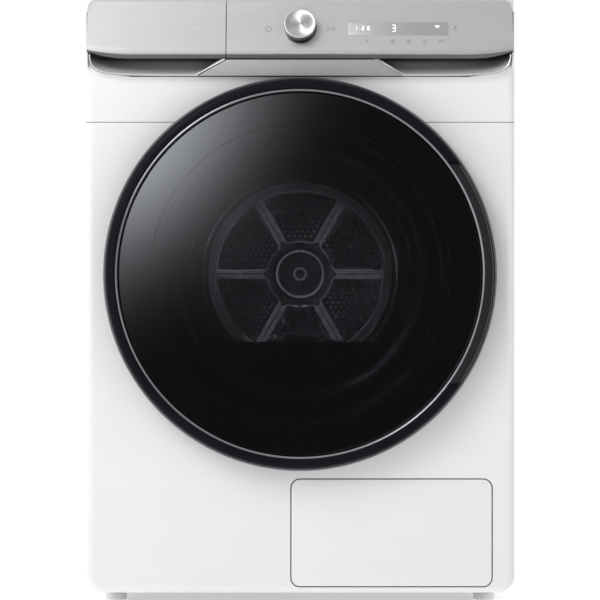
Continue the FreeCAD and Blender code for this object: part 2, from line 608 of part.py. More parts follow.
def belt():
    centre = FreeCAD.Vector(SIZES["motor_across"], 0, SIZES["motor_height"] - SIZES["axis_height"])
    gap, thick, width = (SIZES[name] for name in ("belt_gap", "belt_thick", "belt_width"))
    drum_reach, pulley_reach = SIZES["drum_radius"] + gap, SIZES["pulley_radius"] + gap
    along = FreeCAD.Vector(0, width, 0)
    outer = wrap(drum_reach + thick, pulley_reach + thick, centre).extrude(along)
    inner = wrap(drum_reach, pulley_reach, centre).extrude(along)
    thing = doc.addObject("Part::Feature", "belt")
    thing.Shape = outer.cut(inner)
    start = FreeCAD.Vector(0, -width / 2, SIZES["axis_height"])
    thing.Placement = FreeCAD.Placement(start, FreeCAD.Rotation())
    node(thing, "drive_belt")


def motor():
    across, height = "motor_across", "motor_height"
    case = rod("stator", "52", (across, "60", height), "125")
    seat = block("motor_seat", (across + " - 40", across + " + 40"), ("75", "170"),
                 ("base_floor + base_wall", "60"))
    bore = rod("stator_bore", "motor_shaft + running_gap", (across, "50", height), "150")
    node(cut("motor", join("motor_form", case, seat), bore), "motor_body")
    shaft = rod("rotor_shaft", "motor_shaft", (across, "-14", height), "296")
    pulley = turned_at("pulley",
                       [("0", "0"), ("pulley_radius", "0"), ("pulley_radius", "-20"), ("0", "-20")],
                       across, height, "-10")
    flange = rod("pulley_flange", "14", (across, "-12", height), "2.5")
    node(join("rotor", shaft, pulley, flange), "motor_rotor")
    hub = rod("fan_hub", "18", (across, "224", height), "54")
    back = rod("fan_disc", "60", (across, "274", height), "3")
    centre = FreeCAD.Vector(SIZES["motor_across"], 0, SIZES["motor_height"])
    vanes = [swung(block("vane%d" % step, (across + " + 12", across + " + 60"), ("226", "276"),
                         (height + " - 1.5", height + " + 1.5")), centre, 45 * step) for step in range(8)]
    bore = rod("fan_bore", "motor_shaft", (across, "220", height), "60")
    node(cut("fan", join("fan_form", hub, back, *vanes), bore), "fan_impeller")
    scroll = rod("scroll", "76", (across, "210", height), "84")
    space = rod("scroll_space", "72", (across, "214", height), "76")
    inlet = rod("scroll_inlet", "40", (across, "205", height), "20")
    node(cut("volute", scroll, space, inlet), "fan_housing")


def base():
    wall = "base_wall"
    tray = block("base_outer", ("-base_half", "base_half"), ("base_front", "base_back"),
                 ("base_floor", "base_top"))
    space = block("base_space", ("-base_half + " + wall, "base_half - " + wall),
                  ("base_front + " + wall, "base_back - " + wall),
                  ("base_floor + " + wall, "base_top + 1"))
    access = block("base_access", ("12", "243"), ("base_front - 1", "base_front + 5"), ("38", "145"))
    divider = block("base_divider", ("-6", "-2"), ("base_front + " + wall, "base_back - " + wall),
                    ("base_floor + " + wall, "base_top"))
    bosses, bores = [], []
    for index, (across, along) in enumerate(foot_places()):
        bosses.append(rod("foot_boss%d" % index, "11", (across, along, "base_floor + " + wall), "30", "z"))
        bores.append(rod("foot_bore%d" % index, "foot_stem + running_gap", (across, along, "0"),
                         "60", "z"))
    spigot = rod("drain_spigot", "8", ("-120", "base_back", "29.5"), "object_back - base_back")
    spigot_bore = rod("drain_bore", "6", ("-120", "base_back - 6", "29.5"), "30")
    form = join("base_form", cut("base_shell", tray, space, access), divider, spigot, *bosses)
    node(cut("base", form, spigot_bore, *bores), "base_pan")


def foot_places():
    return [(across, along) for along in ("foot_front", "foot_rear")
            for across in ("-foot_across", "foot_across")]


def feet():
    names = ["front_left", "front_right", "rear_left", "rear_right"]
    for name, (across, along) in zip(names, foot_places()):
        profile = [("0", "0"), ("foot_radius - 1", "0"), ("foot_radius", "2"), ("foot_radius", "12"),
                   ("foot_stem + 3", "14"), ("foot_stem", "14"), ("foot_stem", "49"), ("0", "49")]
        node(upright("foot_" + name, profile, across, along), "levelling_foot_" + name)


def heat_pump():
    case = [("0", "base_floor + base_wall"), ("50", "base_floor + base_wall"), ("60", "34"), ("60", "170"),
            ("45", "190"), ("0", "195")]
    node(upright("compressor_can", case, "190", "160"), "compressor")
    packs = []
    for name, low, high in (("evaporator", -235, -150), ("condenser", -130, 10)):
        pack = block(name, ("22", "238"), (str(low), str(high)), ("base_floor + base_wall", "142"))
        gaps = [block("%s_gap%d" % (name, step), (str(30 + 14 * step), str(37 + 14 * step)),
                      (str(low - 1), str(high + 1)), ("30", "136")) for step in range(15)]
        packs.append(cut(name + "_fins", pack, *gaps))
    node(group("exchanger_pair", *packs), "heat_exchangers")


def cover_outline(name, gap, low, high):
    corners = [("cover_left - " + gap, "cover_low - " + gap),
               ("cover_right + " + gap, "cover_low - " + gap),
               ("cover_right + " + gap, "cover_high + " + gap),
               ("cover_left - " + gap, "cover_high + " + gap)]
    body = slab(name, "XZ", corners, low, high)
    return rounded(body, "cover_corner + " + gap, lambda edge: runs_along(edge, "y"))


def service_access():
    plate = cover_outline("cover_plate", "0", FRONT, FRONT + " + cover_thick")
    hooks = [block("cover_hook%d" % index, (start, start + " + 12"),
                   (FRONT + " + cover_thick", FRONT + " + 9"), ("cover_high - 14", "cover_high - 6"))
             for index, start in enumerate(("20", "223"))]
    node(join("cover", plate, *hooks), "service_cover")
    lid = block("lid_plate", ("8", "247"), ("base_front - 6", "base_front - 0.1"), ("33", "149"))
    holes, levers = [], []
    for name, across in (("left", "36"), ("right", "219")):
        holes.append(rod("lever_hole_" + name, "4 + running_gap", (across, "base_front - 8", "91"), "10"))
        hub = rod("lever_hub_" + name, "10", (across, FRONT + " + 6", "91"), "4.8")
        arm = block("lever_arm_" + name, (across + " - 6", across + " + 6"),
                    (FRONT + " + 6", FRONT + " + 10.8"), ("66", "112"))
        pin = rod("lever_pin_" + name, "4", (across, FRONT + " + 10", "91"), "6.5")
        levers.append((join("lever_" + name, hub, arm, pin), "lock_lever_" + name))
    node(cut("lid", lid, *holes), "heat_exchanger_lid")
    for lever, name in levers:
        node(lever, name)


cabinet_panels()
rear()
worktop()
fascia()
grips()
water_tank()
door_shell()
door_inside()
glass()
hinge()
latch()
drum()
drum_front()
rollers()
belt()
motor()
base()
feet()
heat_pump()
service_access()
doc.recompute()

for thing in doc.Objects:
    if "Invalid" in thing.State or "Error" in thing.State:
        raise RuntimeError("%s failed: %s" % (thing.Label, thing.State))
os.makedirs("parts", exist_ok=True)
for old in os.listdir("parts"):
    os.remove(os.path.join("parts", old))
for thing in NODES:
    shape = thing.Shape
    if shape.isNull() or not shape.isValid() or not shape.Solids:
        raise RuntimeError(thing.Label + " is not a valid solid")
    shape.exportStep("parts/%s.step" % thing.Label)
    box = shape.BoundBox
    print("%-28s solids %d  volume %9.1f cm3  x %.1f %.1f  y %.1f %.1f  z %.1f %.1f" % (
        thing.Label, len(shape.Solids), shape.Volume / 1000, box.XMin, box.XMax, box.YMin, box.YMax,
        box.ZMin, box.ZMax))
print(len(NODES), "nodes")
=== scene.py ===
import json
import math

import bmesh
import bpy
from mathutils import Matrix, Vector
from mathutils.geometry import delaunay_2d_cdt

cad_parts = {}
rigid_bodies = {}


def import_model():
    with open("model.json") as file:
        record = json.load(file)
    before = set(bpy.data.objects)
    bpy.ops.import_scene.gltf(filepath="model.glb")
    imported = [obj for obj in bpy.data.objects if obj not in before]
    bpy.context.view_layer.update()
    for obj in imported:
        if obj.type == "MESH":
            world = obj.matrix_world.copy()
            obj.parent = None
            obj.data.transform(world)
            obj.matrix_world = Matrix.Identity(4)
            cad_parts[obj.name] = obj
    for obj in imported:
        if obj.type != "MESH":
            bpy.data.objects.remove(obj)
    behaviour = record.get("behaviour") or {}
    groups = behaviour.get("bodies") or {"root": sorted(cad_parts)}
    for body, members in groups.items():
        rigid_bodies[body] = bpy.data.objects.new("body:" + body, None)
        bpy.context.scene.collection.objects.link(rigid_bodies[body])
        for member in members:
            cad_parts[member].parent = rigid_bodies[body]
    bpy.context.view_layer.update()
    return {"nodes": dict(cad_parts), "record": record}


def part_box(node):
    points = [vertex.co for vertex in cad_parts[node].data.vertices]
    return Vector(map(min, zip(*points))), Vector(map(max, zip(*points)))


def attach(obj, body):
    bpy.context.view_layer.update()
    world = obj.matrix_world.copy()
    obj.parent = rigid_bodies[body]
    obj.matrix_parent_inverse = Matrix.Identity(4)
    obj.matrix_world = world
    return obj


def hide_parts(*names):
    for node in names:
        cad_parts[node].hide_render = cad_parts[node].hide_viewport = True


# A front-loading heat pump dryer. Sizes are millimetres in a local frame; pieces are placed in metres.

for leftover in list(bpy.data.objects):
    bpy.data.objects.remove(leftover)
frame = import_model()
MM = 0.001


def extent(node):
    """The node's (low, high) along X, Y and Z in millimetres."""
    lowest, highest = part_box(node)
    return [(low / MM, high / MM) for low, high in zip(lowest, highest)]


def facing(along, height, lean=0.0, across=0.0):
    """A frame on the front: X to the right, Y up the surface, Z out of it, in millimetres."""
    turn = Matrix.Rotation(math.radians(90 - lean), 4, "X")
    return Matrix.Translation(Vector((across, along, height)) * MM) @ turn


def backing(along, height, across=0.0):
    """The same on the back: X to the left as seen from the front, Y up, Z out of the back."""
    turn = Matrix.Rotation(math.pi, 4, "Z") @ Matrix.Rotation(math.pi / 2, 4, "X")
    return Matrix.Translation(Vector((across, along, height)) * MM) @ turn


PANEL_Y = extent("lower_front_panel")[1][0]
AXIS_Z = sum(extent("door_glass")[2]) / 2
GLASS_R = extent("door_glass")[0][1]
DRUM_R = extent("drum_shell")[0][1]
DRUM_BACK = PANEL_Y - extent("drum_shell")[1][1]
WHEEL_R = extent("drum_rear_wheel")[0][1]
LIP_Y, LIP_Z = extent("control_fascia")[1][0], 765.5
FASCIA_TOP = extent("control_fascia")[2][1]
FASCIA_TOP_Y = -263
FASCIA_X = extent("control_fascia")[0][1]
LEAN = math.degrees(math.atan2(FASCIA_TOP_Y - LIP_Y, FASCIA_TOP - LIP_Z))
KNOB_Z = 803.5
KNOB_Y = LIP_Y + (KNOB_Z - LIP_Z) * math.tan(math.radians(LEAN))
SEAM_X = -103

DOOR = facing(PANEL_Y, AXIS_Z)
PANEL = facing(PANEL_Y, 0)
FACE = facing(KNOB_Y, KNOB_Z, LEAN)
WORLD = Matrix.Identity(4)
FINISHES = {}


# ---------------------------------------------------------------- shader building

def link_noise(tree, coords, scale, detail=3.0, rough=0.5, stretch=(1, 1, 1)):
    """A noise texture in the object's own space, in metres."""
    mapping = tree.nodes.new("ShaderNodeMapping")
    mapping.inputs["Scale"].default_value = stretch
    tree.links.new(coords.outputs["Object"], mapping.inputs["Vector"])
    noise = tree.nodes.new("ShaderNodeTexNoise")
    noise.inputs["Scale"].default_value = scale
    noise.inputs["Detail"].default_value = detail
    noise.inputs["Roughness"].default_value = rough
    tree.links.new(mapping.outputs["Vector"], noise.inputs["Vector"])
    return noise.outputs["Fac"]


def ranged(tree, factor, low, high, start=0.3, end=0.7):
    """The factor spread over a range of values."""
    spread = tree.nodes.new("ShaderNodeMapRange")
    for name, number in (("From Min", start), ("From Max", end), ("To Min", low), ("To Max", high)):
        spread.inputs[name].default_value = number
    tree.links.new(factor, spread.inputs["Value"])
    return spread.outputs["Result"]


def tinted(tree, factor, dark, light, start=0.3, end=0.7):
    """A colour ramp between two colours."""
    ramp = tree.nodes.new("ShaderNodeValToRGB")
    ramp.color_ramp.elements[0].position, ramp.color_ramp.elements[1].position = start, end
    ramp.color_ramp.elements[0].color = (*dark, 1)
    ramp.color_ramp.elements[1].color = (*light, 1)
    tree.links.new(factor, ramp.inputs["Fac"])
    return ramp.outputs["Color"]


def math_node(tree, operation, *given):
    """The result of a sum on sockets and plain numbers."""
    node = tree.nodes.new("ShaderNodeMath")
    node.operation = operation
    for entry, term in zip(node.inputs, given):
        if isinstance(term, (int, float)):
            entry.default_value = term
        else:
            tree.links.new(term, entry)
    return node.outputs[0]


def bumped(tree, height, strength, distance, normal=None):
    bump = tree.nodes.new("ShaderNodeBump")
    bump.inputs["Strength"].default_value = strength
    bump.inputs["Distance"].default_value = distance
    tree.links.new(height, bump.inputs["Height"])
    if normal is not None:
        tree.links.new(normal, bump.inputs["Normal"])
    return bump.outputs["Normal"]


def finish(name, color, rough, metal=0.0, coat=0.0, mottle=0.03, patch=14, grain=900, bump=0.06,
           depth=0.00005, wander=0.05, stretch=(1, 1, 1), edge=0.0, specular=0.5):
    """A paint, plastic, rubber or metal with uneven colour, gloss and surface."""
    material = bpy.data.materials.new(name)
    material.use_nodes = True
    tree = material.node_tree
    shader = tree.nodes["Principled BSDF"]
    shader.inputs["Metallic"].default_value = metal
    shader.inputs["Coat Weight"].default_value = coat
    shader.inputs["Coat Roughness"].default_value = 0.08
    shader.inputs["Specular IOR Level"].default_value = specular
    coords = tree.nodes.new("ShaderNodeTexCoord")
    broad = link_noise(tree, coords, patch, stretch=stretch)
    fine = link_noise(tree, coords, grain, detail=4.0, stretch=stretch)
    dark = tuple(channel * (1 - mottle) for channel in color)
    light = tuple(min(1.0, channel * (1 + mottle)) for channel in color)
    tree.links.new(tinted(tree, broad, dark, light), shader.inputs["Base Color"])
    gloss = ranged(tree, fine, max(0.02, rough - wander), rough + wander)
    tree.links.new(gloss, shader.inputs["Roughness"])
    normal = None
    if edge:
        bevel = tree.nodes.new("ShaderNodeBevel")
        bevel.samples = 4
        bevel.inputs["Radius"].default_value = edge
        normal = bevel.outputs["Normal"]
    tree.links.new(bumped(tree, fine, bump, depth, normal), shader.inputs["Normal"])
    FINISHES[name] = material
    return material


def glass_finish(name, color, rough, index=1.5):
    """Clear or tinted glass with a trace of smears in its gloss."""
    material = finish(name, color, rough, mottle=0.02, patch=6, bump=0.002, wander=0.004, grain=20)
    shader = material.node_tree.nodes["Principled BSDF"]
    shader.inputs["Transmission Weight"].default_value = 1.0
    shader.inputs["IOR"].default_value = index
    return material


def finishes():
    """A finish for each material slot of the part, then the finishes of small visible pieces."""
    brushed = (0.12, 1, 1)
    finish("white_enamel", (0.84, 0.84, 0.86), 0.34, coat=0.25, mottle=0.01, bump=0.10, grain=700,
           depth=0.00004, edge=0.0007)
    finish("white_top", (0.83, 0.83, 0.85), 0.42, mottle=0.012, bump=0.16, grain=1300, edge=0.0006)
    finish("silver_fascia", (0.64, 0.64, 0.65), 0.38, metal=0.7, bump=0.05, grain=500, depth=0.00003,
           stretch=brushed, wander=0.06)
    finish("grip_silver", (0.46, 0.46, 0.47), 0.42, metal=0.5, bump=0.05, grain=600, stretch=brushed)
    finish("display_tint", (0.54, 0.54, 0.55), 0.30, metal=0.6, coat=0.1, bump=0.03, grain=600)
    finish("board_green", (0.03, 0.16, 0.07), 0.45, mottle=0.2, patch=90, edge=0.0003)
    finish("ring_black", (0.007, 0.008, 0.011), 0.3, bump=0.03, grain=600, mottle=0.15, specular=0.07)
    finish("ring_gloss", (0.007, 0.008, 0.011), 0.3, specular=0.25, bump=0.02, grain=600, mottle=0.15)
    finish("accent_chrome", (0.36, 0.37, 0.39), 0.2, metal=1.0, bump=0.03, mottle=0.06)
    glass_finish("tinted_glass", (0.21, 0.215, 0.24), 0.025, index=1.9)
    glass_finish("clear_glass", (0.93, 0.95, 0.95), 0.02)
    finish("handle_grey", (0.018, 0.018, 0.021), 0.5, bump=0.08, grain=900, mottle=0.08, specular=0.12)
    finish("zinc_steel", (0.50, 0.51, 0.52), 0.36, metal=0.95, mottle=0.05, patch=60, wander=0.09,
           edge=0.0005)
    finish("drum_steel", (0.45, 0.46, 0.47), 0.22, metal=1.0, mottle=0.05, patch=25, wander=0.07,
           edge=0.0004)
    finish("felt_grey", (0.30, 0.29, 0.28), 0.95, bump=0.9, grain=2200, depth=0.0004, mottle=0.25,
           patch=500)
    milky = finish("tank_milky", (0.70, 0.73, 0.76), 0.35, bump=0.08, grain=500, edge=0.0008, mottle=0.05)
    milky.node_tree.nodes["Principled BSDF"].inputs["Transmission Weight"].default_value = 0.35
    finish("motor_grey", (0.36, 0.37, 0.38), 0.4, metal=0.8, bump=0.15, grain=700, mottle=0.12,
           edge=0.0005)
    finish("compressor_black", (0.022, 0.022, 0.024), 0.33, coat=0.2, bump=0.2, grain=600, mottle=0.2)
    finish("fin_metal", (0.66, 0.67, 0.68), 0.32, metal=1.0, bump=0.1, grain=700, mottle=0.1)
    moulded = (("liner_black", (0.016, 0.016, 0.018), 0.48, 0.22, 1500, 0.12, 0.0005),
               ("seal_rubber", (0.028, 0.028, 0.030), 0.62, 0.3, 1200, 0.2, 0),
               ("lifter_grey", (0.35, 0.36, 0.37), 0.45, 0.15, 1400, 0.06, 0),
               ("hub_black", (0.05, 0.052, 0.055), 0.42, 0.15, 1400, 0.1, 0),
               ("black_moulding", (0.03, 0.03, 0.032), 0.5, 0.25, 1500, 0.12, 0.0005),
               ("filter_frame", (0.55, 0.56, 0.58), 0.42, 0.15, 1400, 0.06, 0.0005),
               ("base_grey", (0.22, 0.225, 0.23), 0.55, 0.25, 1300, 0.1, 0.0006),
               ("belt_rubber", (0.02, 0.02, 0.02), 0.7, 0.3, 1500, 0.3, 0),
               ("fan_plastic", (0.11, 0.115, 0.12), 0.5, 0.2, 1400, 0.1, 0),
               ("foot_rubber", (0.84, 0.84, 0.85), 0.55, 0.25, 1300, 0.1, 0),
               ("lever_blue", (0.05, 0.20, 0.42), 0.42, 0.12, 1400, 0.08, 0.0006))
    for name, color, rough, bump, grain, mottle, edge in moulded:
        finish(name, color, rough, bump=bump, grain=grain, mottle=mottle, edge=edge)
    # A lighter copy of the wheel's dark finish for its raised ribs, rim, bead line and bolts: painted light
    # on the raised parts.
    finish("wheel_raised_painted_light", (0.07, 0.072, 0.078), 0.4, bump=0.10, grain=900, mottle=0.08, specular=0.3)
    finish("wheel_black", (0.022, 0.023, 0.027), 0.5, bump=0.10, grain=900, mottle=0.10, specular=0.12)
    # Light bars along the wheel's edges: painted highlights.
    finish("wheel_painted_highlight", (0.50, 0.51, 0.54), 0.4, bump=0.05, grain=900, mottle=0.05, specular=0.3)
    # A lighter silver for the scoop's rim bead: painted highlight.
    finish("rim_painted_highlight_silver", (0.74, 0.74, 0.75), 0.3, metal=0.6, bump=0.03, mottle=0.03)
    finish("icon_grey", (0.16, 0.16, 0.165), 0.4, mottle=0.05)
    # Dark grey for the fascia's underside and the groove below it: painted shade in place of the fascia's
    # silver.
    finish("lip_painted_shade_grey", (0.12, 0.12, 0.122), 0.5, bump=0.06, grain=900, mottle=0.06)


def glowing(name, color, strength, rough=0.3):
    """Printed or lit marks on the display: a plain finish with some light of its own."""
    material = finish(name, color, rough, mottle=0.04, patch=200)
    shader = material.node_tree.nodes["Principled BSDF"]
    shader.inputs["Emission Color"].default_value = (*color, 1)
    shader.inputs["Emission Strength"].default_value = strength
    return material


# ---------------------------------------------------------------- mesh building

def added(name, data):
    """A new object in the scene."""
    thing = bpy.data.objects.new(name, data)
    bpy.context.scene.collection.objects.link(thing)
    return thing


def piece(name, points, faces, look, body, place=WORLD, nodes=(), crease=35, soften=0.0):
    """A mesh in a local frame, with the body it rides on and the CAD nodes it stands for."""
    mesh = bpy.data.meshes.new(name)
    mesh.from_pydata([Vector(point) * MM for point in points], [], faces)
    work = bmesh.new()
    work.from_mesh(mesh)
    bmesh.ops.remove_doubles(work, verts=work.verts, dist=2e-6)
    bmesh.ops.recalc_face_normals(work, faces=work.faces)
    work.to_mesh(mesh)
    work.free()
    mesh.shade_smooth()
    mesh.set_sharp_from_angle(angle=math.radians(crease))
    thing = added(name, mesh)
    thing.matrix_world = place
    mesh.materials.append(FINISHES[look])
    if soften:
        bevel = thing.modifiers.new("soft_edges", "BEVEL")
        bevel.width = soften * MM
        bevel.segments = 2
        bevel.limit_method = "ANGLE"
        bevel.harden_normals = True
    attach(thing, body)
    if nodes:
        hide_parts(*nodes)
    return thing


def skin(size, count, closed=True, capped=True):
    """Faces between cross-sections of one size; closed sections are rings, capped ends are filled."""
    faces = []
    for step in range(count - 1):
        here, there = step * size, (step + 1) * size
        for index in range(size if closed else size - 1):
            after = (index + 1) % size
            faces.append((here + index, here + after, there + after, there + index))
    if capped:
        faces += [tuple(range(size)), tuple(range((count - 1) * size, count * size))[::-1]]
    return faces


def arc(across, up, radius, start, end, steps=8):
    """Points along an arc, in degrees."""
    turns = [math.radians(start + (end - start) * step / steps) for step in range(steps + 1)]
    return [(across + radius * math.cos(turn), up + radius * math.sin(turn)) for turn in turns]


def circle(radius, across=0.0, up=0.0, steps=32):
    return arc(across, up, radius, 0, 360, steps)[:-1]


def rectangle(left, right, low, high):
    return [(left, low), (right, low), (right, high), (left, high)]


def polar(radius, angle):
    """The point at a radius and an angle in degrees."""
    turn = math.radians(angle)
    return radius * math.cos(turn), radius * math.sin(turn)


def hoop(radius, height, steps=120):
    """A closed line for wires, round the frame's Z axis."""
    return [True] + [(x, y, height) for x, y in circle(radius, steps=steps)]


def round_rect(left, right, low, high, radius, steps=6):
    corners = ((right, high, 0), (left, high, 90), (left, low, 180), (right, low, 270))
    points = []
    for across, up, start in corners:
        inward_x = -radius if across == right else radius
        inward_y = -radius if up == high else radius
        points += arc(across + inward_x, up + inward_y, radius, start, start + 90, steps)
    return points


def lathe(name, profile, look, body, place=DOOR, steps=160, sweep=None, **more):
    """A closed (radius, height) profile turned about Z, all round or between two angles in degrees."""
    start, end = sweep or (0, 360)
    count = steps if sweep is None else steps + 1
    turns = [math.radians(start + (end - start) * step / steps) for step in range(count)]
    size = len(profile)
    points = [(radius * math.cos(turn), radius * math.sin(turn), height) for turn in turns
              for radius, height in profile]
    faces = skin(size, steps + 1, capped=bool(sweep))
    if not sweep:
        faces = [tuple(index % len(points) for index in face) for face in faces]
    return piece(name, points, faces, look, body, place, **more)


def from_curve(name, curve, lift, look, body, place, **more):
    """The mesh of a curve, as a piece."""
    holder = added(name + "_curve", curve)
    graph = bpy.context.evaluated_depsgraph_get()
    mesh = bpy.data.meshes.new_from_object(holder.evaluated_get(graph))
    points = [vertex.co + Vector((0, 0, lift)) for vertex in mesh.vertices]
    faces = [tuple(polygon.vertices) for polygon in mesh.polygons]
    bpy.data.objects.remove(holder)
    bpy.data.curves.remove(curve)
    bpy.data.meshes.remove(mesh)
    return piece(name, points, faces, look, body, place, **more)


def add_line(curve, corners, closed):
    """A straight-sided line of (x, y) or (x, y, z) corners in a curve."""
    spline = curve.splines.new("POLY")
    spline.points.add(len(corners) - 1)
    spline.use_cyclic_u = closed
    for point, corner in zip(spline.points, corners):
        point.co = (*corner, 0, 1) if len(corner) == 2 else (*corner, 1)


def plate(name, outlines, low, high, look, body, place=PANEL, soft=0.4, **more):
    """A plate between two heights of its frame, with rounded edges; inner outlines are holes."""
    curve = bpy.data.curves.new(name, "CURVE")
    curve.dimensions = "2D"
    curve.fill_mode = "BOTH"
    curve.extrude = (high - low) / 2 - soft
    curve.bevel_depth = soft
    curve.bevel_resolution = 2
    curve.offset = -soft
    for outline in outlines:
        add_line(curve, outline, True)
    return from_curve(name, curve, (low + high) / 2, look, body, place, **more)


def wires(name, lines, radius, look, body, place=FACE, lift=0.0, **more):
    """Round bars along lines of (x, y) or (x, y, z) points; a line that starts with True is closed."""
    curve = bpy.data.curves.new(name, "CURVE")
    curve.dimensions = "3D"
    curve.bevel_depth = radius
    curve.bevel_resolution = 2
    curve.use_fill_caps = True
    for line in lines:
        closed = line[0] is True
        add_line(curve, line[1:] if closed else line, closed)
    return from_curve(name, curve, lift, look, body, place, **more)


def sheet_with_holes(name, outline, holes, low, high, look, body, place, **more):
    """A flat sheet with many small holes, each with a raised lip and its own wall."""
    flat = [Vector(corner) for corner in outline]
    edges = [(step, (step + 1) % len(outline)) for step in range(len(outline))]
    rings, lips = [], set()
    for hole in holes:
        middle = sum((Vector(corner) for corner in hole), Vector((0, 0))) / len(hole)
        rings.append(list(range(len(flat), len(flat) + len(hole))))
        lips.update(rings[-1])
        flat += [Vector(corner) for corner in hole]
        first = len(flat)
        flat += [middle + (Vector(corner) - middle) * 1.38 for corner in hole]
        edges += [(first + step, first + (step + 1) % len(hole)) for step in range(len(hole))]
    corners, _, triangles, _, _, owners = delaunay_2d_cdt(flat, edges, rings, 1, 1e-4)
    triangles = [triangle for triangle, holding in zip(triangles, owners) if not holding]
    count = len(corners)
    points = [(*corner, high + (0.7 if index in lips else 0)) for index, corner in enumerate(corners)]
    points += [(*corner, low) for corner in corners]
    faces = [tuple(triangle) for triangle in triangles]
    faces += [tuple(index + count for index in reversed(triangle)) for triangle in triangles]
    used = {}
    for triangle in triangles:
        for step in range(3):
            side = (triangle[step], triangle[(step + 1) % 3])
            used[frozenset(side)] = used.get(frozenset(side), 0) + 1
    for side, times in used.items():
        if times == 1:
            a, b = tuple(side)
            faces.append((a, b, b + count, a + count))
    return piece(name, points, faces, look, body, place, **more)


def smooth_line(corners, steps=6):
    """A smooth line through the corners."""
    points = []
    for index in range(len(corners) - 1):
        before, after = corners[max(0, index - 1)], corners[min(len(corners) - 1, index + 2)]
        start, end = corners[index], corners[index + 1]
        for step in range(steps):
            share = step / steps
            points.append(tuple(
                0.5 * (2 * b + (c - a) * share + (2 * a - 5 * b + 4 * c - d) * share ** 2
                       + (3 * b - a - 3 * c + d) * share ** 3)
                for a, b, c, d in zip(before, start, end, after)))
    return points + [tuple(corners[-1])]


def screws(name, places, radius, height, look, body, place, nodes=()):
    """Flat-topped screw heads with cross recesses."""
    outlines = []
    arm, half = 0.62 * radius, 0.13 * radius
    for across, up in places:
        outlines.append(circle(radius, across, up, 20))
        cross = [(half, half), (half, arm), (-half, arm), (-half, half), (-arm, half), (-arm, -half),
                 (-half, -half), (-half, -arm), (half, -arm), (half, -half), (arm, -half), (arm, half)]
        outlines.append([(across + x, up + y) for x, y in cross])
    return plate(name, outlines, height - 0.45 * radius, height + 0.25 * radius, look, body, place,
                 soft=0.12 * radius, nodes=nodes)


# ---------------------------------------------------------------- door

def door_ring():
    shoulder = [(263 + polar(10, angle)[0], 24 + polar(23, angle)[1]) for angle in range(0, 91, 9)]
    front = shoulder[6:] + [(258, 47.4)]
    flank = shoulder[:7] + [(264, 38), (267, 34), (269.7, 29), (269.7, 24)]
    behind = [(255.6, 46.9), (255.6, 41), (246, 41), (246, 38), (262, 38), (264, 38)]
    grooved = [(radius, depth) for radius, depth in shoulder[6:] if depth < 44]
    lathe("ring_flank", flank, "ring_gloss", "door", steps=240)
    lathe("ring_front", front + behind, "ring_black", "door", sweep=(36.5, 323.5), steps=200,
          nodes=["door_outer_ring"])
    grooved += [(267.3, 44.2), (255.6, 44.3)]
    lathe("ring_behind_handle", grooved + behind[1:], "ring_black", "door", sweep=(-36.5, 36.5), steps=60)
    skirt = smooth_line([(266, 3.1), (270.2, 6.6), (272.4, 12), (273, 18), (273, 24)], 4)
    skirt += [(269.7, 24), (269.7, 15.5), (267.5, 9.6), (263, 5.5), (263, 3.1)]
    for name, sweep in (("upper", (11.75, 174.4)), ("lower", (185.6, 348.25))):
        lathe("ring_skirt_" + name, skirt, "ring_gloss", "door", sweep=sweep, steps=100)


def door_trim():
    accent = [(251.9, 41.2), (255.3, 41.2), (255.3, 47.3), (254.9, 47.8), (254.2, 48), (253.6, 47.7),
              (252.3, 46.2), (251.9, 45.6)]
    lathe("chrome_ring", accent, "accent_chrome", "door", steps=240, nodes=["door_accent_ring"])
    profile = [(255.6, 44.5), (266.3, 44.5), (266.2, 45.4), (265.3, 46.5), (262, 47.3), (256.4, 47.9),
               (255.6, 47.6)]
    steps, inner_half, outer_half = 72, 36.3, 34.2
    points = []
    for step in range(steps + 1):
        for radius, depth in profile:
            half = inner_half + (outer_half - inner_half) * (radius - 255.6) / 10.7
            points.append((*polar(radius, half * (2 * step / steps - 1)), depth))
    faces = skin(len(profile), steps + 1)
    piece("handle_plate", points, faces, "handle_grey", "door", DOOR, nodes=["door_handle"])
    edge = [(266.3, 44.6), (266.9, 44.6), (266.9, 45.3), (266.3, 45.9)]
    lathe("handle_bright_edge", edge, "accent_chrome", "door", sweep=(-34, 34), steps=60)
    cup = [(251.5, 3.6), (272.3, 3.6), (272.5, 4.6), (271.6, 5.8), (258, 6.4), (255, 7.6), (254, 10),
           (254, 16), (255, 18.6), (258, 19.9), (271.6, 20.3), (272.5, 21.4), (272.3, 22.5), (251.5, 22.5)]
    lathe("grip_cup", cup, "handle_grey", "door", sweep=(-11.3, 11.3), steps=24)
    end = [(251.5, 3.6), (272.3, 3.6), (272.3, 22.5), (251.5, 22.5)]
    for name, sweep in (("low", (-11.6, -11.1)), ("high", (11.1, 11.6))):
        lathe("grip_cup_end_" + name, end, "handle_grey", "door", sweep=sweep, steps=2)


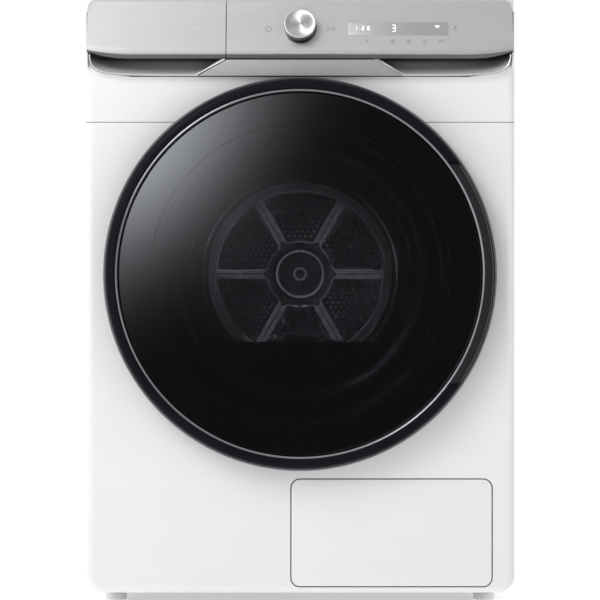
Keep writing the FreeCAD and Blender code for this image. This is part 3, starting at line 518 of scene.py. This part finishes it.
def door_panes():
    centre_depth, edge_depth, thick = 50, 45.1, 4
    fall = centre_depth - edge_depth
    radii = [GLASS_R * step / 20 for step in range(20)] + [GLASS_R - 4, GLASS_R - 1.2]
    front = [(radius, centre_depth - fall * (radius / GLASS_R) ** 2) for radius in radii]
    edge = [(GLASS_R - 0.4, edge_depth - 0.4), (GLASS_R - 0.1, edge_depth - 1.2),
            (GLASS_R - 0.1, edge_depth - 3)]
    back = [(radius, depth - thick) for radius, depth in reversed(front)]
    lathe("tinted_pane", front + edge + back, "tinted_glass", "door", steps=240, crease=12,
          nodes=["door_glass"])
    border = [(206, edge_depth - 2.4), (249.6, edge_depth - thick - 0.1),
              (249.6, edge_depth - thick - 0.4), (206, edge_depth - 2.7)]
    lathe("printed_border", border, "liner_black", "door", steps=200)
    outer = smooth_line([(120, -38.6), (160, -37.8), (172, -35.6), (183, -27), (194, -16), (201, -6),
                         (203.6, 2), (204, 6.1)], 4)
    rim = [(217, 6.1), (217.5, 6.8), (217.3, 8.4), (216.6, 9), (201.5, 9)]
    inner = smooth_line([(200, 7.6), (199, 0), (195, -9), (187, -18), (177, -27.5), (168, -32.6),
                         (158, -34), (120, -34.6)], 4)
    lathe("glass_bowl", [(0, -39)] + outer + rim + inner + [(0, -35)], "clear_glass", "door", steps=180,
          crease=50, nodes=["door_bowl"])


def door_lining():
    rim = [(205.2, 3), (222, 3), (222, 6), (205.2, 6)]
    lathe("liner_rim", rim, "liner_black", "door", nodes=["door_inner_liner"])
    middle = [(221.8, 3), (250.4, 3), (250.4, 6), (221.8, 6)]
    lathe("liner_middle", middle, "liner_black", "door", sweep=(-172.9, 172.9), steps=150)
    outer = [(250.2, 3), (262.6, 3), (262.8, 3.6), (262.8, 6), (250.2, 6)]
    for name, sweep in (("upper", (12.9, 172.9)), ("lower", (187.1, 347.1))):
        lathe("liner_edge_" + name, outer, "liner_black", "door", sweep=sweep, steps=90)
    lip = [(210, 3), (210, 1.6), (211, 0.7), (213, 0.5), (214.4, 1.4), (215, 2.2), (215.6, 1.4),
           (217, 0.6), (219, 0.9), (220, 1.8), (220, 3)]
    lathe("door_gasket", lip, "seal_rubber", "door", nodes=["door_seal"])
    angles = (20, 45, 70, 95, 120, 145, 165, 195, 220, 245, 270, 295, 320, 342)
    places = [polar(237, 180 - angle) for angle in angles]
    screws("liner_screws", places, 4.2, -3.0, "zinc_steel", "door", backing(PANEL_Y, AXIS_Z))


# ---------------------------------------------------------------- control fascia and drawer front

def lip_rise(across):
    """How far the fascia's lower edge has risen at this distance from the middle."""
    share = max(0.0, (abs(across) - 228) / (FASCIA_X - 228))
    return 5.5 * share ** 2.2


def fascia_section(across):
    """The fascia's outline at one X as (y, z), from its lower back edge round to its upper back edge."""
    corner = 12
    low = LIP_Z + lip_rise(across)
    past = abs(across) - (FASCIA_X - corner)
    high = FASCIA_TOP - (corner - math.sqrt(max(0.0, corner ** 2 - past ** 2)) if past > 0 else 0)
    slope = math.tan(math.radians(LEAN))

    def face_y(height):
        return LIP_Y + (height - LIP_Z) * slope

    nose, crown = 1.8, 2.6
    line = [(-258.4, low), (face_y(low) + nose + 1, low)]
    line += [(face_y(low + nose) + nose * (1 - math.sin(turn)), low + nose * (1 - math.cos(turn)))
             for turn in (0.35, 0.8, 1.2)]
    start, end = low + nose, high - crown
    heights = [start + (end - start) * step / 8 for step in range(9)]
    line += [(face_y(height), height) for height in heights]
    line += [(face_y(end) + crown * (1 - math.cos(turn)), end + crown * math.sin(turn))
             for turn in (0.5, 1.0)]
    line += [(face_y(end) + crown + 0.6, high), (-258.4, high)]
    return line


def fascia_part(name, left, right, body, node):
    columns = [left + (right - left) * step / 40 for step in range(41)]
    columns += [side * (FASCIA_X - 12 * (1 - math.sin(math.radians(angle)))) for side in (-1, 1)
                for angle in range(0, 90, 10)]
    columns = sorted(column for column in set(columns) if left <= column <= right)
    points = [(across, y, z) for across in columns for y, z in fascia_section(across)]
    faces = skin(len(points) // len(columns), len(columns))
    piece(name, points, faces, "silver_fascia", body, nodes=[node], crease=32, soften=0.45)


def lip_underside(name, left, right, body):
    """The fascia's nose below its front edge: a bevel that runs back over the finger scoops, in a dark grey
    that paints the shade under the silver fascia.
    """
    columns = [left + (right - left) * step / 48 for step in range(49)]
    points = []
    for across in columns:
        top = LIP_Z + lip_rise(across) + 0.4
        taper = 1 - 0.75 * max(0.0, (abs(across) - 255) / 42) ** 1.5
        points += [(across, LIP_Y + 1.6, top), (across, LIP_Y + 2.6, top - 3.0 * taper),
                   (across, LIP_Y + 4.0, top - 5.0 * taper), (across, LIP_Y + 7, top - 5.6 * taper),
                   (across, -260, top - 3.6 * taper), (across, -260, top)]
    faces = skin(len(points) // len(columns), len(columns))
    piece(name, points, faces, "lip_painted_shade_grey", body, crease=40)


def grip_rim(name, side, body):
    """The bead round the scoop's edge, in a lighter silver that paints its highlight; a thin black bar
    outside it paints the shadow in the gap to the panel.
    """
    line = [(104.6, 759.6), (144.2, 737.9), (200, 738.1), (238, 738.7), (258, 739.9), (271.6, 742),
            (281.2, 745.2), (287.2, 749), (291, 754.4), (292.8, 760.4), (293.2, 766.5)]
    bend = smooth_line(line[1:], 5)
    path = [(side * line[0][0], -285.3, line[0][1])] + [(side * x, -285.3, z) for x, z in bend]
    wires(name, [path], 1.15, "rim_painted_highlight_silver", body, WORLD)
    # Painted shadow: a thin black bar just outside the bead, where the gap to the panel lies in shade.
    gap = [(across + side * 1.35, along + 0.7, up - 1.35) for across, along, up in path[1:]]
    wires(name + "_painted_shadow_line", [gap], 0.4, "liner_black", body, WORLD)


def grip_depth(rise, run):
    """How far back the finger scoop lies, by the height above its lower edge and distance to its end."""
    rim = 1.7
    nearest = min(rise, run)
    if nearest < rim:
        return 0.5 * (1 - min(1.0, nearest / 0.6)) ** 2
    up = min(1.0, (rise - rim) / 27)
    along = min(1.0, (run - rim) / 12)
    return 44 * (1 - (1 - up) ** 1.7) * math.sqrt(1 - (1 - along) ** 2)


def grip(name, side, body, node):
    """The scoop under the fascia's lip, with a rounded rim along its lower edge and its end."""
    inner_low, inner_high, top_z, face_y, back_y = 144, 103.6, 762.5, -286, -262
    bottom = smooth_line([(inner_low, 736.5), (200, 736.7), (238, 737.3), (258, 738.5), (272, 740.6),
                          (282, 743.8), (288.4, 748), (292.4, 753.5), (294.2, 760), (294.6, 768)], 5)
    steps = [0, 0.25, 0.7, 1.7, 1.9, 2.3, 3, 4, 5.4, 7.4, 10, 13]
    lengths = [0.0]
    for before, after in zip(bottom, bottom[1:]):
        lengths.append(lengths[-1] + math.dist(before, after))
    points = []
    for run in sorted(steps + [length for length in lengths if length > 15]):
        index = max(step for step in range(len(lengths)) if lengths[step] <= run)
        index = min(index, len(bottom) - 2)
        share = (run - lengths[index]) / (lengths[index + 1] - lengths[index])
        low = [a + (b - a) * share for a, b in zip(bottom[index], bottom[index + 1])]
        top_x = inner_high + (bottom[-1][0] - inner_high) * run / lengths[-1]
        top = (top_x, top_z + lip_rise(top_x))
        height = math.dist(low, top)
        column = []
        for rise in steps + [13 + (height - 13) * part for part in (0.35, 0.7, 1)]:
            share = min(1.0, rise / height) if height > 0.1 else 0.0
            across, up = [a + (b - a) * share for a, b in zip(low, top)]
            column.append((side * across, face_y + grip_depth(rise, run * 0.72), up))
        points += [(column[0][0], back_y, column[0][2])] + column
    size = len(steps) + 4
    points = [(x, back_y, z) for x, _, z in points[:size]] + points
    faces = skin(size, len(points) // size, closed=False, capped=False)
    # Its finish paints light along the lower part of the scoop and shade towards its top.
    piece(name, points, faces, "scoop_painted_light_and_shade", body, nodes=[node], crease=50)


def trim():
    middle = [(-101.8, 759), (-141.9, 736.6), (143.3, 736.6), (102.9, 759)]
    plate("trim_plate", [middle], -6, 11, "grip_silver", "cabinet", soft=0.7, nodes=["trim_strip"])


def scoop_painted_shade_finish():
    """Brushed silver with painted light and shade: lighter than the trim's silver, and darkened by a ramp
    towards the top of the scoops, where the fascia's lip shades them.
    """
    material = finish("scoop_painted_light_and_shade", (0.86, 0.86, 0.87), 0.4, metal=0.1, bump=0.05, grain=600,
                      stretch=(0.12, 1, 1))
    tree = material.node_tree
    shader = tree.nodes["Principled BSDF"]
    coords = tree.nodes.new("ShaderNodeTexCoord")
    split = tree.nodes.new("ShaderNodeSeparateXYZ")
    tree.links.new(coords.outputs["Object"], split.inputs["Vector"])
    # Painted shade: between these heights the colour is multiplied down to near black towards the top.
    light_below, dark_above = 0.745, 0.7615
    rise = ranged(tree, split.outputs["Z"], 0, 1, light_below, dark_above)
    shade = tinted(tree, rise, (1, 1, 1), (0.06, 0.06, 0.06), 0, 1)
    mix = tree.nodes.new("ShaderNodeMix")
    mix.data_type = "RGBA"
    mix.blend_type = "MULTIPLY"
    mix.inputs["Factor"].default_value = 1.0
    paint = shader.inputs["Base Color"].links[0].from_socket
    tree.links.new(paint, mix.inputs[6])
    tree.links.new(shade, mix.inputs[7])
    tree.links.new(mix.outputs[2], shader.inputs["Base Color"])


def knob():
    radius, length = 22.0, 17.0
    skirt = [(3, 1.0), (20.6, 1.0), (21.2, 1.2), (21.6, 2), (21.9, 12), (radius, 15.4)]
    # The skirt in the darker metal: painted shade on the knob's side.
    lathe("knob_skirt", skirt + [(radius, 15.6), (3, 15.6)], "knob_side_painted_shade", "knob", FACE, steps=96,
          nodes=["selector_knob"])
    cap = [(0, 15.4), (radius, 15.4), (radius, 16.1), (21.75, 16.7), (21.2, 17), (20.6, length),
           (20.1, 16.75), (19.6, 16.6), (12, 16.35), (0, 16.2)]
    lathe("knob_cap", cap, "knob_metal", "knob", FACE, steps=128, crease=40)
    # A dark ring on the fascia round the knob's base: painted shadow.
    seat = [(20, -0.4), (23.4, -0.4), (23.4, 0.15), (23, 0.35), (20, 0.35)]
    lathe("knob_seat_painted_shadow", seat, "knob_side_painted_shade", "cabinet", FACE, steps=96)


def spun_metal():
    """Lathe-turned metal: stretched highlights that run round the knob."""
    material = finish("knob_metal", (0.80, 0.80, 0.81), 0.34, metal=1.0, bump=0.0, wander=0.01,
                      mottle=0.01)
    tree = material.node_tree
    shader = tree.nodes["Principled BSDF"]
    shader.inputs["Anisotropic"].default_value = 0.9
    tangent = tree.nodes.new("ShaderNodeTangent")
    tangent.direction_type = "RADIAL"
    tangent.axis = "Z"
    tree.links.new(tangent.outputs["Tangent"], shader.inputs["Tangent"])
    # A darker copy of the knob's metal for its side and its seat ring: painted shade on the side and painted
    # shadow round the base.
    finish("knob_side_painted_shade", (0.16, 0.16, 0.165), 0.3, metal=1.0, grain=700, bump=0.05, stretch=(1, 1, 0.1))


SEGMENTS = {"a": ((0, 2), (1, 2)), "b": ((1, 2), (1, 1)), "c": ((1, 1), (1, 0)), "d": ((0, 0), (1, 0)),
            "e": ((0, 1), (0, 0)), "f": ((0, 2), (0, 1)), "g": ((0, 1), (1, 1))}
DIGITS = {"0": "abcdef", "1": "bc", "2": "abged", "3": "abgcd"}


def digit(sign, across, up, height):
    """The bars of one seven-segment digit."""
    half, gap = height / 2, 0.10
    lines = []
    for segment in DIGITS[sign]:
        (x0, y0), (x1, y1) = SEGMENTS[segment]
        dx, dy = (x1 - x0) * gap, (y1 - y0) * gap
        lines.append([(across + (x0 + dx) * half * 0.95, up + (y0 + dy) * half),
                      (across + (x1 - dx) * half * 0.95, up + (y1 - dy) * half)])
    return lines


def display():
    glass = round_rect(67, 207, -11.1, 9, 1.5)
    plate("display_pane", [glass], -0.6, 0.12, "display_tint", "cabinet", FACE, soft=0.1,
          nodes=["display_window"])
    lit = digit("3", 128.4, -4.9, 9.6)
    for index, sign in enumerate("120"):
        lit += digit(sign, 76.5 + 7.6 * index + (2.4 if index else 0), -2.7, 5.2)
    lit += [[(83.4, -1.1), (83.4, -1.0)], [(83.4, 1.0), (83.4, 1.1)]]
    lit += [[(188, 3.4), (195, 3.4)], [(189.5, 1.4), (193.5, 1.4)]]
    wires("display_digits", lit, 0.42, "lit_marks", "cabinet", lift=0.05)
    row = -20
    icons = [[True] + circle(2.6, 129, row, 20), [(129, row), (129, row + 1.6)],
             [(129, row), (130.2, row)]]
    icons += [[True] + round_rect(148.4, 153.6, row - 2.4, row + 2.2, 1, 3),
              [(149.6, row), (152.4, row)]]
    icons += [[True, (174, row + 2.7), (176, row - 0.6)] + arc(174, row - 0.8, 2, -10, -170, 8)
              + [(172, row - 0.6)]]
    icons += [[(193.4, row - 2.2), (193.4, row - 0.2), (198.6, row - 0.2), (198.6, row - 2.2)],
              arc(196, row + 0.2, 2, 20, 160, 8)]
    icons += [arc(217, -1.2, 2.6, 60, 300, 16), [(217, -0.5), (217, 2.8)], [(215.9, 1.9), (218.1, 1.9)]]
    icons += [[(91, row), (95.4, row)], [(93.2, row - 1.6), (93.2, row + 1.6)]]
    wires("touch_icons", icons, 0.3, "icon_grey", "cabinet", lift=0.02)
    power = [arc(-44, -0.9, 4.0, 125, 415, 24), [(-44, 0.6), (-44, 3.8)]]
    wires("power_icon", power, 0.4, "icon_grey", "cabinet", lift=0.02)
    play = [[True, (38.4, -4), (38.4, 2.4), (43.2, -0.8)]]
    play += [[(across, -3.8), (across, 2.2)] for across in (45.6, 48)]
    wires("start_pause_icon", play, 0.36, "icon_grey", "cabinet", lift=0.02)


def service_door():
    (left, right), _, (low, high) = extent("service_cover")
    outline = round_rect(left, right, low, high, 12, 10)
    plate("service_cover_panel", [outline], -2.5, 0, "white_enamel", "cover", soft=0.6,
          nodes=["service_cover"])
    for index, start in enumerate((20, 223)):
        hook = round_rect(start, start + 12, high - 14, high - 6, 1.5, 3)
        plate("cover_clip_%d" % index, [hook], -9, -2.2, "black_moulding", "cover", soft=0.8)


def feet():
    for name in ("front_left", "front_right", "rear_left", "rear_right"):
        node = "levelling_foot_" + name
        (left, right), (near, far), _ = extent(node)
        place = Matrix.Translation(Vector((left + right, near + far, 0)) * MM / 2)
        sole = [(0, 0), (13.2, 0), (14.4, 0.5), (15, 1.6), (15, 4.6), (14.5, 5.2), (14.5, 5.8),
                (15, 6.4), (15, 10.6), (14.2, 11.8), (12, 12.6), (8.6, 13.2), (0, 13.4)]
        lathe("foot_sole_" + name, sole, "foot_rubber", "foot_" + name, place, steps=64, nodes=[node])
        thread = [(0, 13)]
        for turn in range(17):
            thread += [(4.4, 14.0 + 2 * turn), (5, 15.0 + 2 * turn)]
        thread += [(4.4, 48), (0, 49)]
        lathe("foot_thread_" + name, thread, "zinc_steel", "foot_" + name, place, steps=32)
        plate("foot_nut_" + name, [circle(8, steps=6)], 13.3, 14.9, "zinc_steel", "foot_" + name, place,
              soft=0.4)


# ---------------------------------------------------------------- drum

def drum():
    back, front = DRUM_BACK, -25
    outer = [(269.2, front), (274, front + 0.6), (280, front - 0.6), (DRUM_R, front - 3)]
    inner_r = DRUM_R - 1.5
    rings = []
    for depth in (-70, -78, -448, -456):
        rings += [(inner_r, depth + 3), (inner_r - 2, depth), (inner_r, depth - 3)]
    inner = [(inner_r, front - 3.4)] + rings + [(inner_r, back + 10), (inner_r - 6, back + 3.4)]
    floor = []
    for radius in (258, 232, 206, 180):
        floor += [(radius + 7, back + 2), (radius + 4, back + 5), (radius - 4, back + 5),
                  (radius - 7, back + 2)]
    hole = WHEEL_R + 0.6
    profile = outer + [(DRUM_R, back), (hole, back), (hole, back + 2)] + floor[::-1] + inner[::-1]
    profile += [(278, front - 1.8), (269.2, front - 1.6)]
    lathe("drum_wall", profile, "drum_steel", "drum", steps=180, nodes=["drum_shell"], crease=45)


def rear_wheel():
    """The perforated rear plate with six double-ribbed spokes and its bolted hub, with light bars along its
    edges that paint their highlights.
    """
    back, pitch, hole_r = DRUM_BACK, 8.63, 2.5
    inner_limit, outer_limit, rib_half = 55, 126, 6.8
    holes = []
    rows = int(outer_limit / (pitch * 0.866)) + 1
    for row in range(-rows, rows + 1):
        for column in range(-rows, rows + 1):
            across = (column + 0.5 * (row % 2)) * pitch
            up = row * pitch * 0.866
            reach = math.hypot(across, up)
            if not inner_limit < reach < outer_limit:
                continue
            turn = math.radians((math.degrees(math.atan2(up, across)) + 30) % 60 - 30)
            if reach * abs(math.sin(turn)) > rib_half + hole_r:
                holes.append(circle(hole_r, across, up, 8))
    sheet_with_holes("perforated_plate", circle(134, steps=96), holes, back + 3.2, back + 4.4,
                     "wheel_black", "drum", DOOR, nodes=["drum_rear_wheel"])
    rim = smooth_line([(130, back + 3), (131.5, back + 6), (136, back + 7.6), (142, back + 8.6),
                       (145.4, back + 6.4), (146, back + 2.2)], 4)
    lathe("wheel_rim", rim + [(146, back + 1.6), (130, back + 1.6)], "wheel_raised_painted_light", "drum", steps=140)
    ridge = smooth_line([(149.5, back + 2), (151.6, back + 4.2), (155, back + 4.2), (157, back + 2)], 3)
    lathe("wheel_bead", ridge, "drum_steel", "drum", steps=140)
    edges = []
    for step in range(6):
        angle = math.radians(60 * step)
        spoke, spin = DOOR @ Matrix.Rotation(angle, 4, "Z"), Matrix.Rotation(angle, 2)
        for middle, word in ((-4.2, "low"), (4.2, "high")):
            rib = rectangle(52, 131, middle - 1.8, middle + 1.8)
            # The ribs take the lighter grey: painted light on the raised parts.
            plate("spoke_%d_%s" % (step, word), [rib], back + 3, back + 7.4, "wheel_raised_painted_light", "drum", spoke,
                  soft=0.6)
        web = rectangle(48, 128, -2.6, 2.6)
        plate("spoke_web_%d" % step, [web], back + 3, back + 4.9, "wheel_black", "drum", spoke, soft=0.3)
        # Painted highlights: light bars along both sides of each spoke rib.
        for offset in (-6.0, -2.4, 2.4, 6.0):
            ends = [spin @ Vector((reach, offset)) for reach in (58 - abs(offset) * 0.3, 130)]
            edges.append([(*end, back + 7.3) for end in ends])
    scallop = [polar(50.8 + 8.5 * max(0.0, math.cos(math.radians(6 * angle))) ** 4, angle)
               for angle in range(0, 360, 2)]
    plate("hub_flange", [scallop], back + 4, back + 8.4, "wheel_black", "drum", DOOR, soft=0.8,
          nodes=["drum_hub"])
    dish = [(0, 8), (41, 8), (40.4, 10), (39.4, 13.4), (37.8, 16), (36, 16.6), (34.4, 15.6), (33.4, 13),
            (14, 12.8), (11.6, 14.6), (9.4, 16.6), (7, 16.8), (4, 14.6), (0, 14.4)]
    lathe("hub_dish", [(radius, back + height) for radius, height in dish], "wheel_black", "drum", steps=120)
    edges += [[True] + [(x, y, back + 8.3) for x, y in scallop], hoop(142.4, back + 8.8),
              hoop(129.8, back + 4.8)]
    # The light bars along the spokes, the flange and the rim, and the hub's rings, are painted highlights.
    wires("wheel_painted_highlight_lines", edges, 0.75, "wheel_painted_highlight", "drum", DOOR)
    rings = [hoop(36.2, back + 16.2, 90), hoop(9, back + 16.2, 40)]
    wires("hub_painted_highlight_rings", rings, 1.4, "wheel_painted_highlight", "drum", DOOR)
    wires("bead_line", [hoop(153.6, back + 4)], 0.6, "wheel_raised_painted_light", "drum", DOOR)
    screws("hub_bolts", circle(49.5, steps=6), 3.4, back + 9, "wheel_raised_painted_light", "drum", DOOR)
    screws("hub_dots", circle(16.5, steps=3), 1.6, back + 13, "wheel_raised_painted_light", "drum", DOOR)


def lifters():
    """Three hollow-backed paddles with rounded crests."""
    foot = -(DRUM_R - 4)
    section = smooth_line([(-33, 2), (-24, 14), (-15, 38), (-9, 45), (0, 46), (9, 45), (15, 38), (24, 14),
                           (33, 2)], 4) + [(20, -0.5), (0, -2), (-20, -0.5)]
    stations = [(-92, 0.82), (-94, 0.93), (-100, 1.0), (-160, 1.0), (-290, 0.94), (-430, 1.0), (-448, 0.93),
                (-454, 0.82)]
    points = [(x * (0.5 + share / 2), foot - 2 + (y + 2) * share, depth) for depth, share in stations
              for x, y in section]
    faces = skin(len(section), len(stations))
    for step in range(3):
        place = DOOR @ Matrix.Rotation(math.radians(-120 * step), 4, "Z")
        piece("lifter_%d" % step, points, faces, "lifter_grey", "drum", place, crease=50,
              nodes=["drum_lifters"] if step == 0 else ())


# ---------------------------------------------------------------- back, filter and base details

def back():
    """Screws round the rear panel and the duct cover, pressed ribs, and the inlet's hood."""
    panel_y = extent("rear_panel")[1][1]
    cover_y = extent("rear_duct_cover")[1][1]
    panel = backing(panel_y, 0)
    edges = [(side * 283, up) for side in (-1, 1) for up in (60, 215, 370, 525, 680, 800)]
    edges += [(across, 806) for across in (-180, -60, 60, 180)]
    screws("rear_panel_screws", edges, 4.5, 0.3, "motor_grey", "cabinet", panel)
    rim = [polar(176, 180 - angle) for angle in range(-30, 225, 30)]
    rim = [(across, AXIS_Z + up) for across, up in rim]
    rim += [(across, up) for across in (-28, -162) for up in (100, 190)]
    screws("duct_cover_screws", rim, 4.2, -1.4, "motor_grey", "cabinet", backing(cover_y, 0))
    for index in range(3):
        bar = round_rect(-255, 255, 690 + 34 * index, 698 + 34 * index, 4, 6)
        plate("rear_rib_%d" % index, [bar], -0.4, 1.6, "zinc_steel", "cabinet", panel, soft=1.0)
    (left, right), (_, inlet_y), (low, high) = extent("power_inlet")
    inlet = backing(inlet_y, 0)
    across, up = -(left + right) / 2, (low + high) / 2
    hood = [round_rect(across - 19, across + 19, up - 16, up + 16, 4),
            round_rect(across - 15.5, across + 15.5, up - 12.5, up + 12.5, 3)[::-1]]
    plate("inlet_hood", hood, -1, 4.5, "black_moulding", "cabinet", inlet, soft=0.6)
    places = [(across - 23.2, up + 20), (across + 23.2, up - 20)]
    screws("inlet_screws", places, 2.6, 0, "zinc_steel", "cabinet", inlet)


def filter_slats():
    """Upright bars on the front of the filter housing, seen under the door opening."""
    (left, right), (near, _), _ = extent("filter_housing")
    face = PANEL_Y - near
    slats = [rectangle(across, across + 3, 268, 352) for across in range(int(left) + 12, int(right) - 12, 8)]
    plate("filter_housing_slats", slats, face - 1, face + 0.8, "black_moulding", "cabinet", soft=0.4)


def lid_details():
    """Stiffening ribs on the heat exchanger's lid, behind the service cover."""
    (left, right), (near, _), (low, high) = extent("heat_exchanger_lid")
    face = PANEL_Y - near
    ribs = [round_rect(left + 34, right - 34, low + 22 + 18 * index, low + 27 + 18 * index, 2, 4)
            for index in range(int((high - low - 40) / 18))]
    plate("lid_ribs", ribs, face - 0.5, face + 1.6, "base_grey", "cabinet", soft=0.8)


# ---------------------------------------------------------------- floor, lights and camera

def dress_cad():
    """Gives every CAD node the finish of its slot."""
    for part in frame["record"]["subparts"]:
        node = frame["nodes"][part["node"]]
        node.data.materials.clear()
        node.data.materials.append(FINISHES[part["material_slot"]])


def studio():
    """A pale floor, a bright surround, a soft key light from the upper left and a gradient card."""
    scene = bpy.context.scene
    scene.view_settings.view_transform = "Standard"
    world = bpy.data.worlds.new("surround")
    scene.world = world
    world.use_nodes = True
    tree = world.node_tree
    coords = tree.nodes.new("ShaderNodeTexCoord")
    split = tree.nodes.new("ShaderNodeSeparateXYZ")
    tree.links.new(coords.outputs["Generated"], split.inputs["Vector"])
    middle, rightward, backward = 0.71, -0.25, 0.34
    level = math_node(tree, "MULTIPLY_ADD", split.outputs["X"], rightward, middle)
    level = math_node(tree, "MULTIPLY_ADD", split.outputs["Y"], backward, level)
    tree.nodes["Background"].inputs["Color"].default_value = (1, 1, 1, 1)
    tree.links.new(level, tree.nodes["Background"].inputs["Strength"])

    floor_mesh = bpy.data.meshes.new("floor")
    half = 14
    corners = rectangle(-half, half, -half, half)
    floor_mesh.from_pydata([(*corner, 0) for corner in corners], [], [(0, 1, 2, 3)])
    floor = added("floor", floor_mesh)
    pale = finish("pale_floor", (0.9, 0.9, 0.9), 0.7, mottle=0.01, bump=0.02)
    shader = pale.node_tree.nodes["Principled BSDF"]
    shader.inputs["Emission Color"].default_value = (1, 1, 1, 1)
    shader.inputs["Emission Strength"].default_value = 0.42
    floor_mesh.materials.append(pale)
    floor.visible_glossy = False
    floor.visible_transmission = False
    reflection_card()
    for name, place, target, size, power in (("key", (-2.4, -4.4, 3.0), (0, 0, 0.5), 2.4, 50),
                                             ("near_key", (-1.25, -1.9, 2.1), (-0.1, -0.28, 0.75), 0.9, 11),
                                             ("fill", (3.4, -3.6, 1.6), (0, 0, 0.4), 2.4, 14)):
        data = light(name, "AREA", place, target, power)
        data.shape = "SQUARE"
        data.size = size
    wheel = (0, (PANEL_Y - DRUM_BACK) * MM, AXIS_Z * MM)
    reach, along = 0.24, -0.215
    for name, angle, power in (("drum_lamp_right", -22, 8.0), ("drum_lamp_left", 196, 4.0),
                               ("drum_lamp_top", 100, 3.0)):
        turn = math.radians(angle)
        place = (reach * math.cos(turn), along, AXIS_Z * MM + reach * math.sin(turn))
        data = light(name, "SPOT", place, wheel, power)
        data.spot_size = math.radians(31)
        data.spot_blend = 0.25
        data.shadow_soft_size = 0.02


def light(name, kind, place, target, power):
    """A light aimed at a target and hidden from the camera."""
    data = bpy.data.lights.new(name, kind)
    data.energy = power
    thing = added(name, data)
    thing.location = place
    thing.rotation_euler = (Vector(target) - Vector(place)).to_track_quat("-Z", "Y").to_euler()
    thing.visible_camera = False
    return data


def reflection_card():
    """A dark card behind the camera with one soft bright patch, seen only in gloss and through glass."""
    half, along, axis = 1.9, -5.6, AXIS_Z * MM
    mesh = bpy.data.meshes.new("reflection_card")
    corners = rectangle(-half, half, -half, half)
    mesh.from_pydata([(across, 0, up) for across, up in corners], [], [(0, 1, 2, 3)])
    card = added("reflection_card", mesh)
    card.location = (0, along, axis)
    material = bpy.data.materials.new("card_light")
    material.use_nodes = True
    tree = material.node_tree
    shader = tree.nodes["Principled BSDF"]
    shader.inputs["Base Color"].default_value = (0.01, 0.01, 0.01, 1)
    shader.inputs["Specular IOR Level"].default_value = 0.0
    coords = tree.nodes.new("ShaderNodeTexCoord")
    turn = tree.nodes.new("ShaderNodeMapping")
    turn.vector_type = "TEXTURE"
    heading = math.radians(140)
    reach, spread_in, spread_round = 1.15, 0.39, 0.71
    turn.inputs["Location"].default_value = (reach * math.cos(heading), 0, reach * math.sin(heading))
    turn.inputs["Rotation"].default_value = (0, -heading, 0)
    turn.inputs["Scale"].default_value = (spread_in, 1, spread_round)
    length = tree.nodes.new("ShaderNodeVectorMath")
    length.operation = "LENGTH"
    tree.links.new(coords.outputs["Object"], turn.inputs["Vector"])
    tree.links.new(turn.outputs["Vector"], length.inputs[0])
    square = math_node(tree, "MULTIPLY", length.outputs["Value"], length.outputs["Value"])
    fade = math_node(tree, "POWER", math.exp(-1), square)
    peak, base = 3.3, 0.03
    shader.inputs["Emission Color"].default_value = (0.93, 0.96, 1.0, 1)
    tree.links.new(math_node(tree, "MULTIPLY_ADD", fade, peak, base), shader.inputs["Emission Strength"])
    mesh.materials.append(material)
    for kind in ("camera", "diffuse", "volume_scatter", "shadow"):
        setattr(card, "visible_" + kind, False)
    return card


def camera():
    """The photograph's view: level with the door's centre, four metres in front of the panel."""
    distance, picture_width, picture_centre = 4.0, 0.837, 0.4244
    data = bpy.data.cameras.new("camera")
    data.sensor_width = 36
    data.lens = data.sensor_width * distance / picture_width
    data.shift_y = (picture_centre - AXIS_Z * MM) / picture_width
    data.clip_end = 60
    thing = added("camera", data)
    thing.location = (0, PANEL_Y * MM - distance, AXIS_Z * MM)
    thing.rotation_euler = (math.pi / 2, 0, 0)
    bpy.context.scene.camera = thing


finishes()
spun_metal()
scoop_painted_shade_finish()
glowing("lit_marks", (0.95, 0.97, 1.0), 1.2)
dress_cad()
door_ring()
door_trim()
door_panes()
door_lining()
fascia_part("drawer_face_panel", -FASCIA_X, SEAM_X - 0.6, "tank_drawer", "tank_drawer_front")
fascia_part("control_face_panel", SEAM_X + 0.6, FASCIA_X, "cabinet", "control_fascia")
grip("drawer_grip_scoop", -1, "tank_drawer", "drawer_grip")
grip("right_grip_scoop", 1, "cabinet", "right_grip")
for word, side, body, left, right in (("drawer", -1, "tank_drawer", -FASCIA_X + 0.5, SEAM_X - 0.6),
                                      ("right", 1, "cabinet", SEAM_X + 0.6, FASCIA_X - 0.5)):
    lip_underside(word + "_lip_underside", left, right, body)
    grip_rim(word + "_grip_rim", side, body)
for side, word in ((-1, "left"), (1, "right")):
    filler = [(side * x, z) for x, z in round_rect(295.3, 297.8, 748, 769.4, 0.8, 3)][::side]
    plate(word + "_corner_filler", [filler], -10, 8, "white_enamel", "cabinet", soft=0.5)
trim()
knob()
display()
service_door()
feet()
drum()
rear_wheel()
lifters()
back()
filter_slats()
lid_details()
studio()
camera()
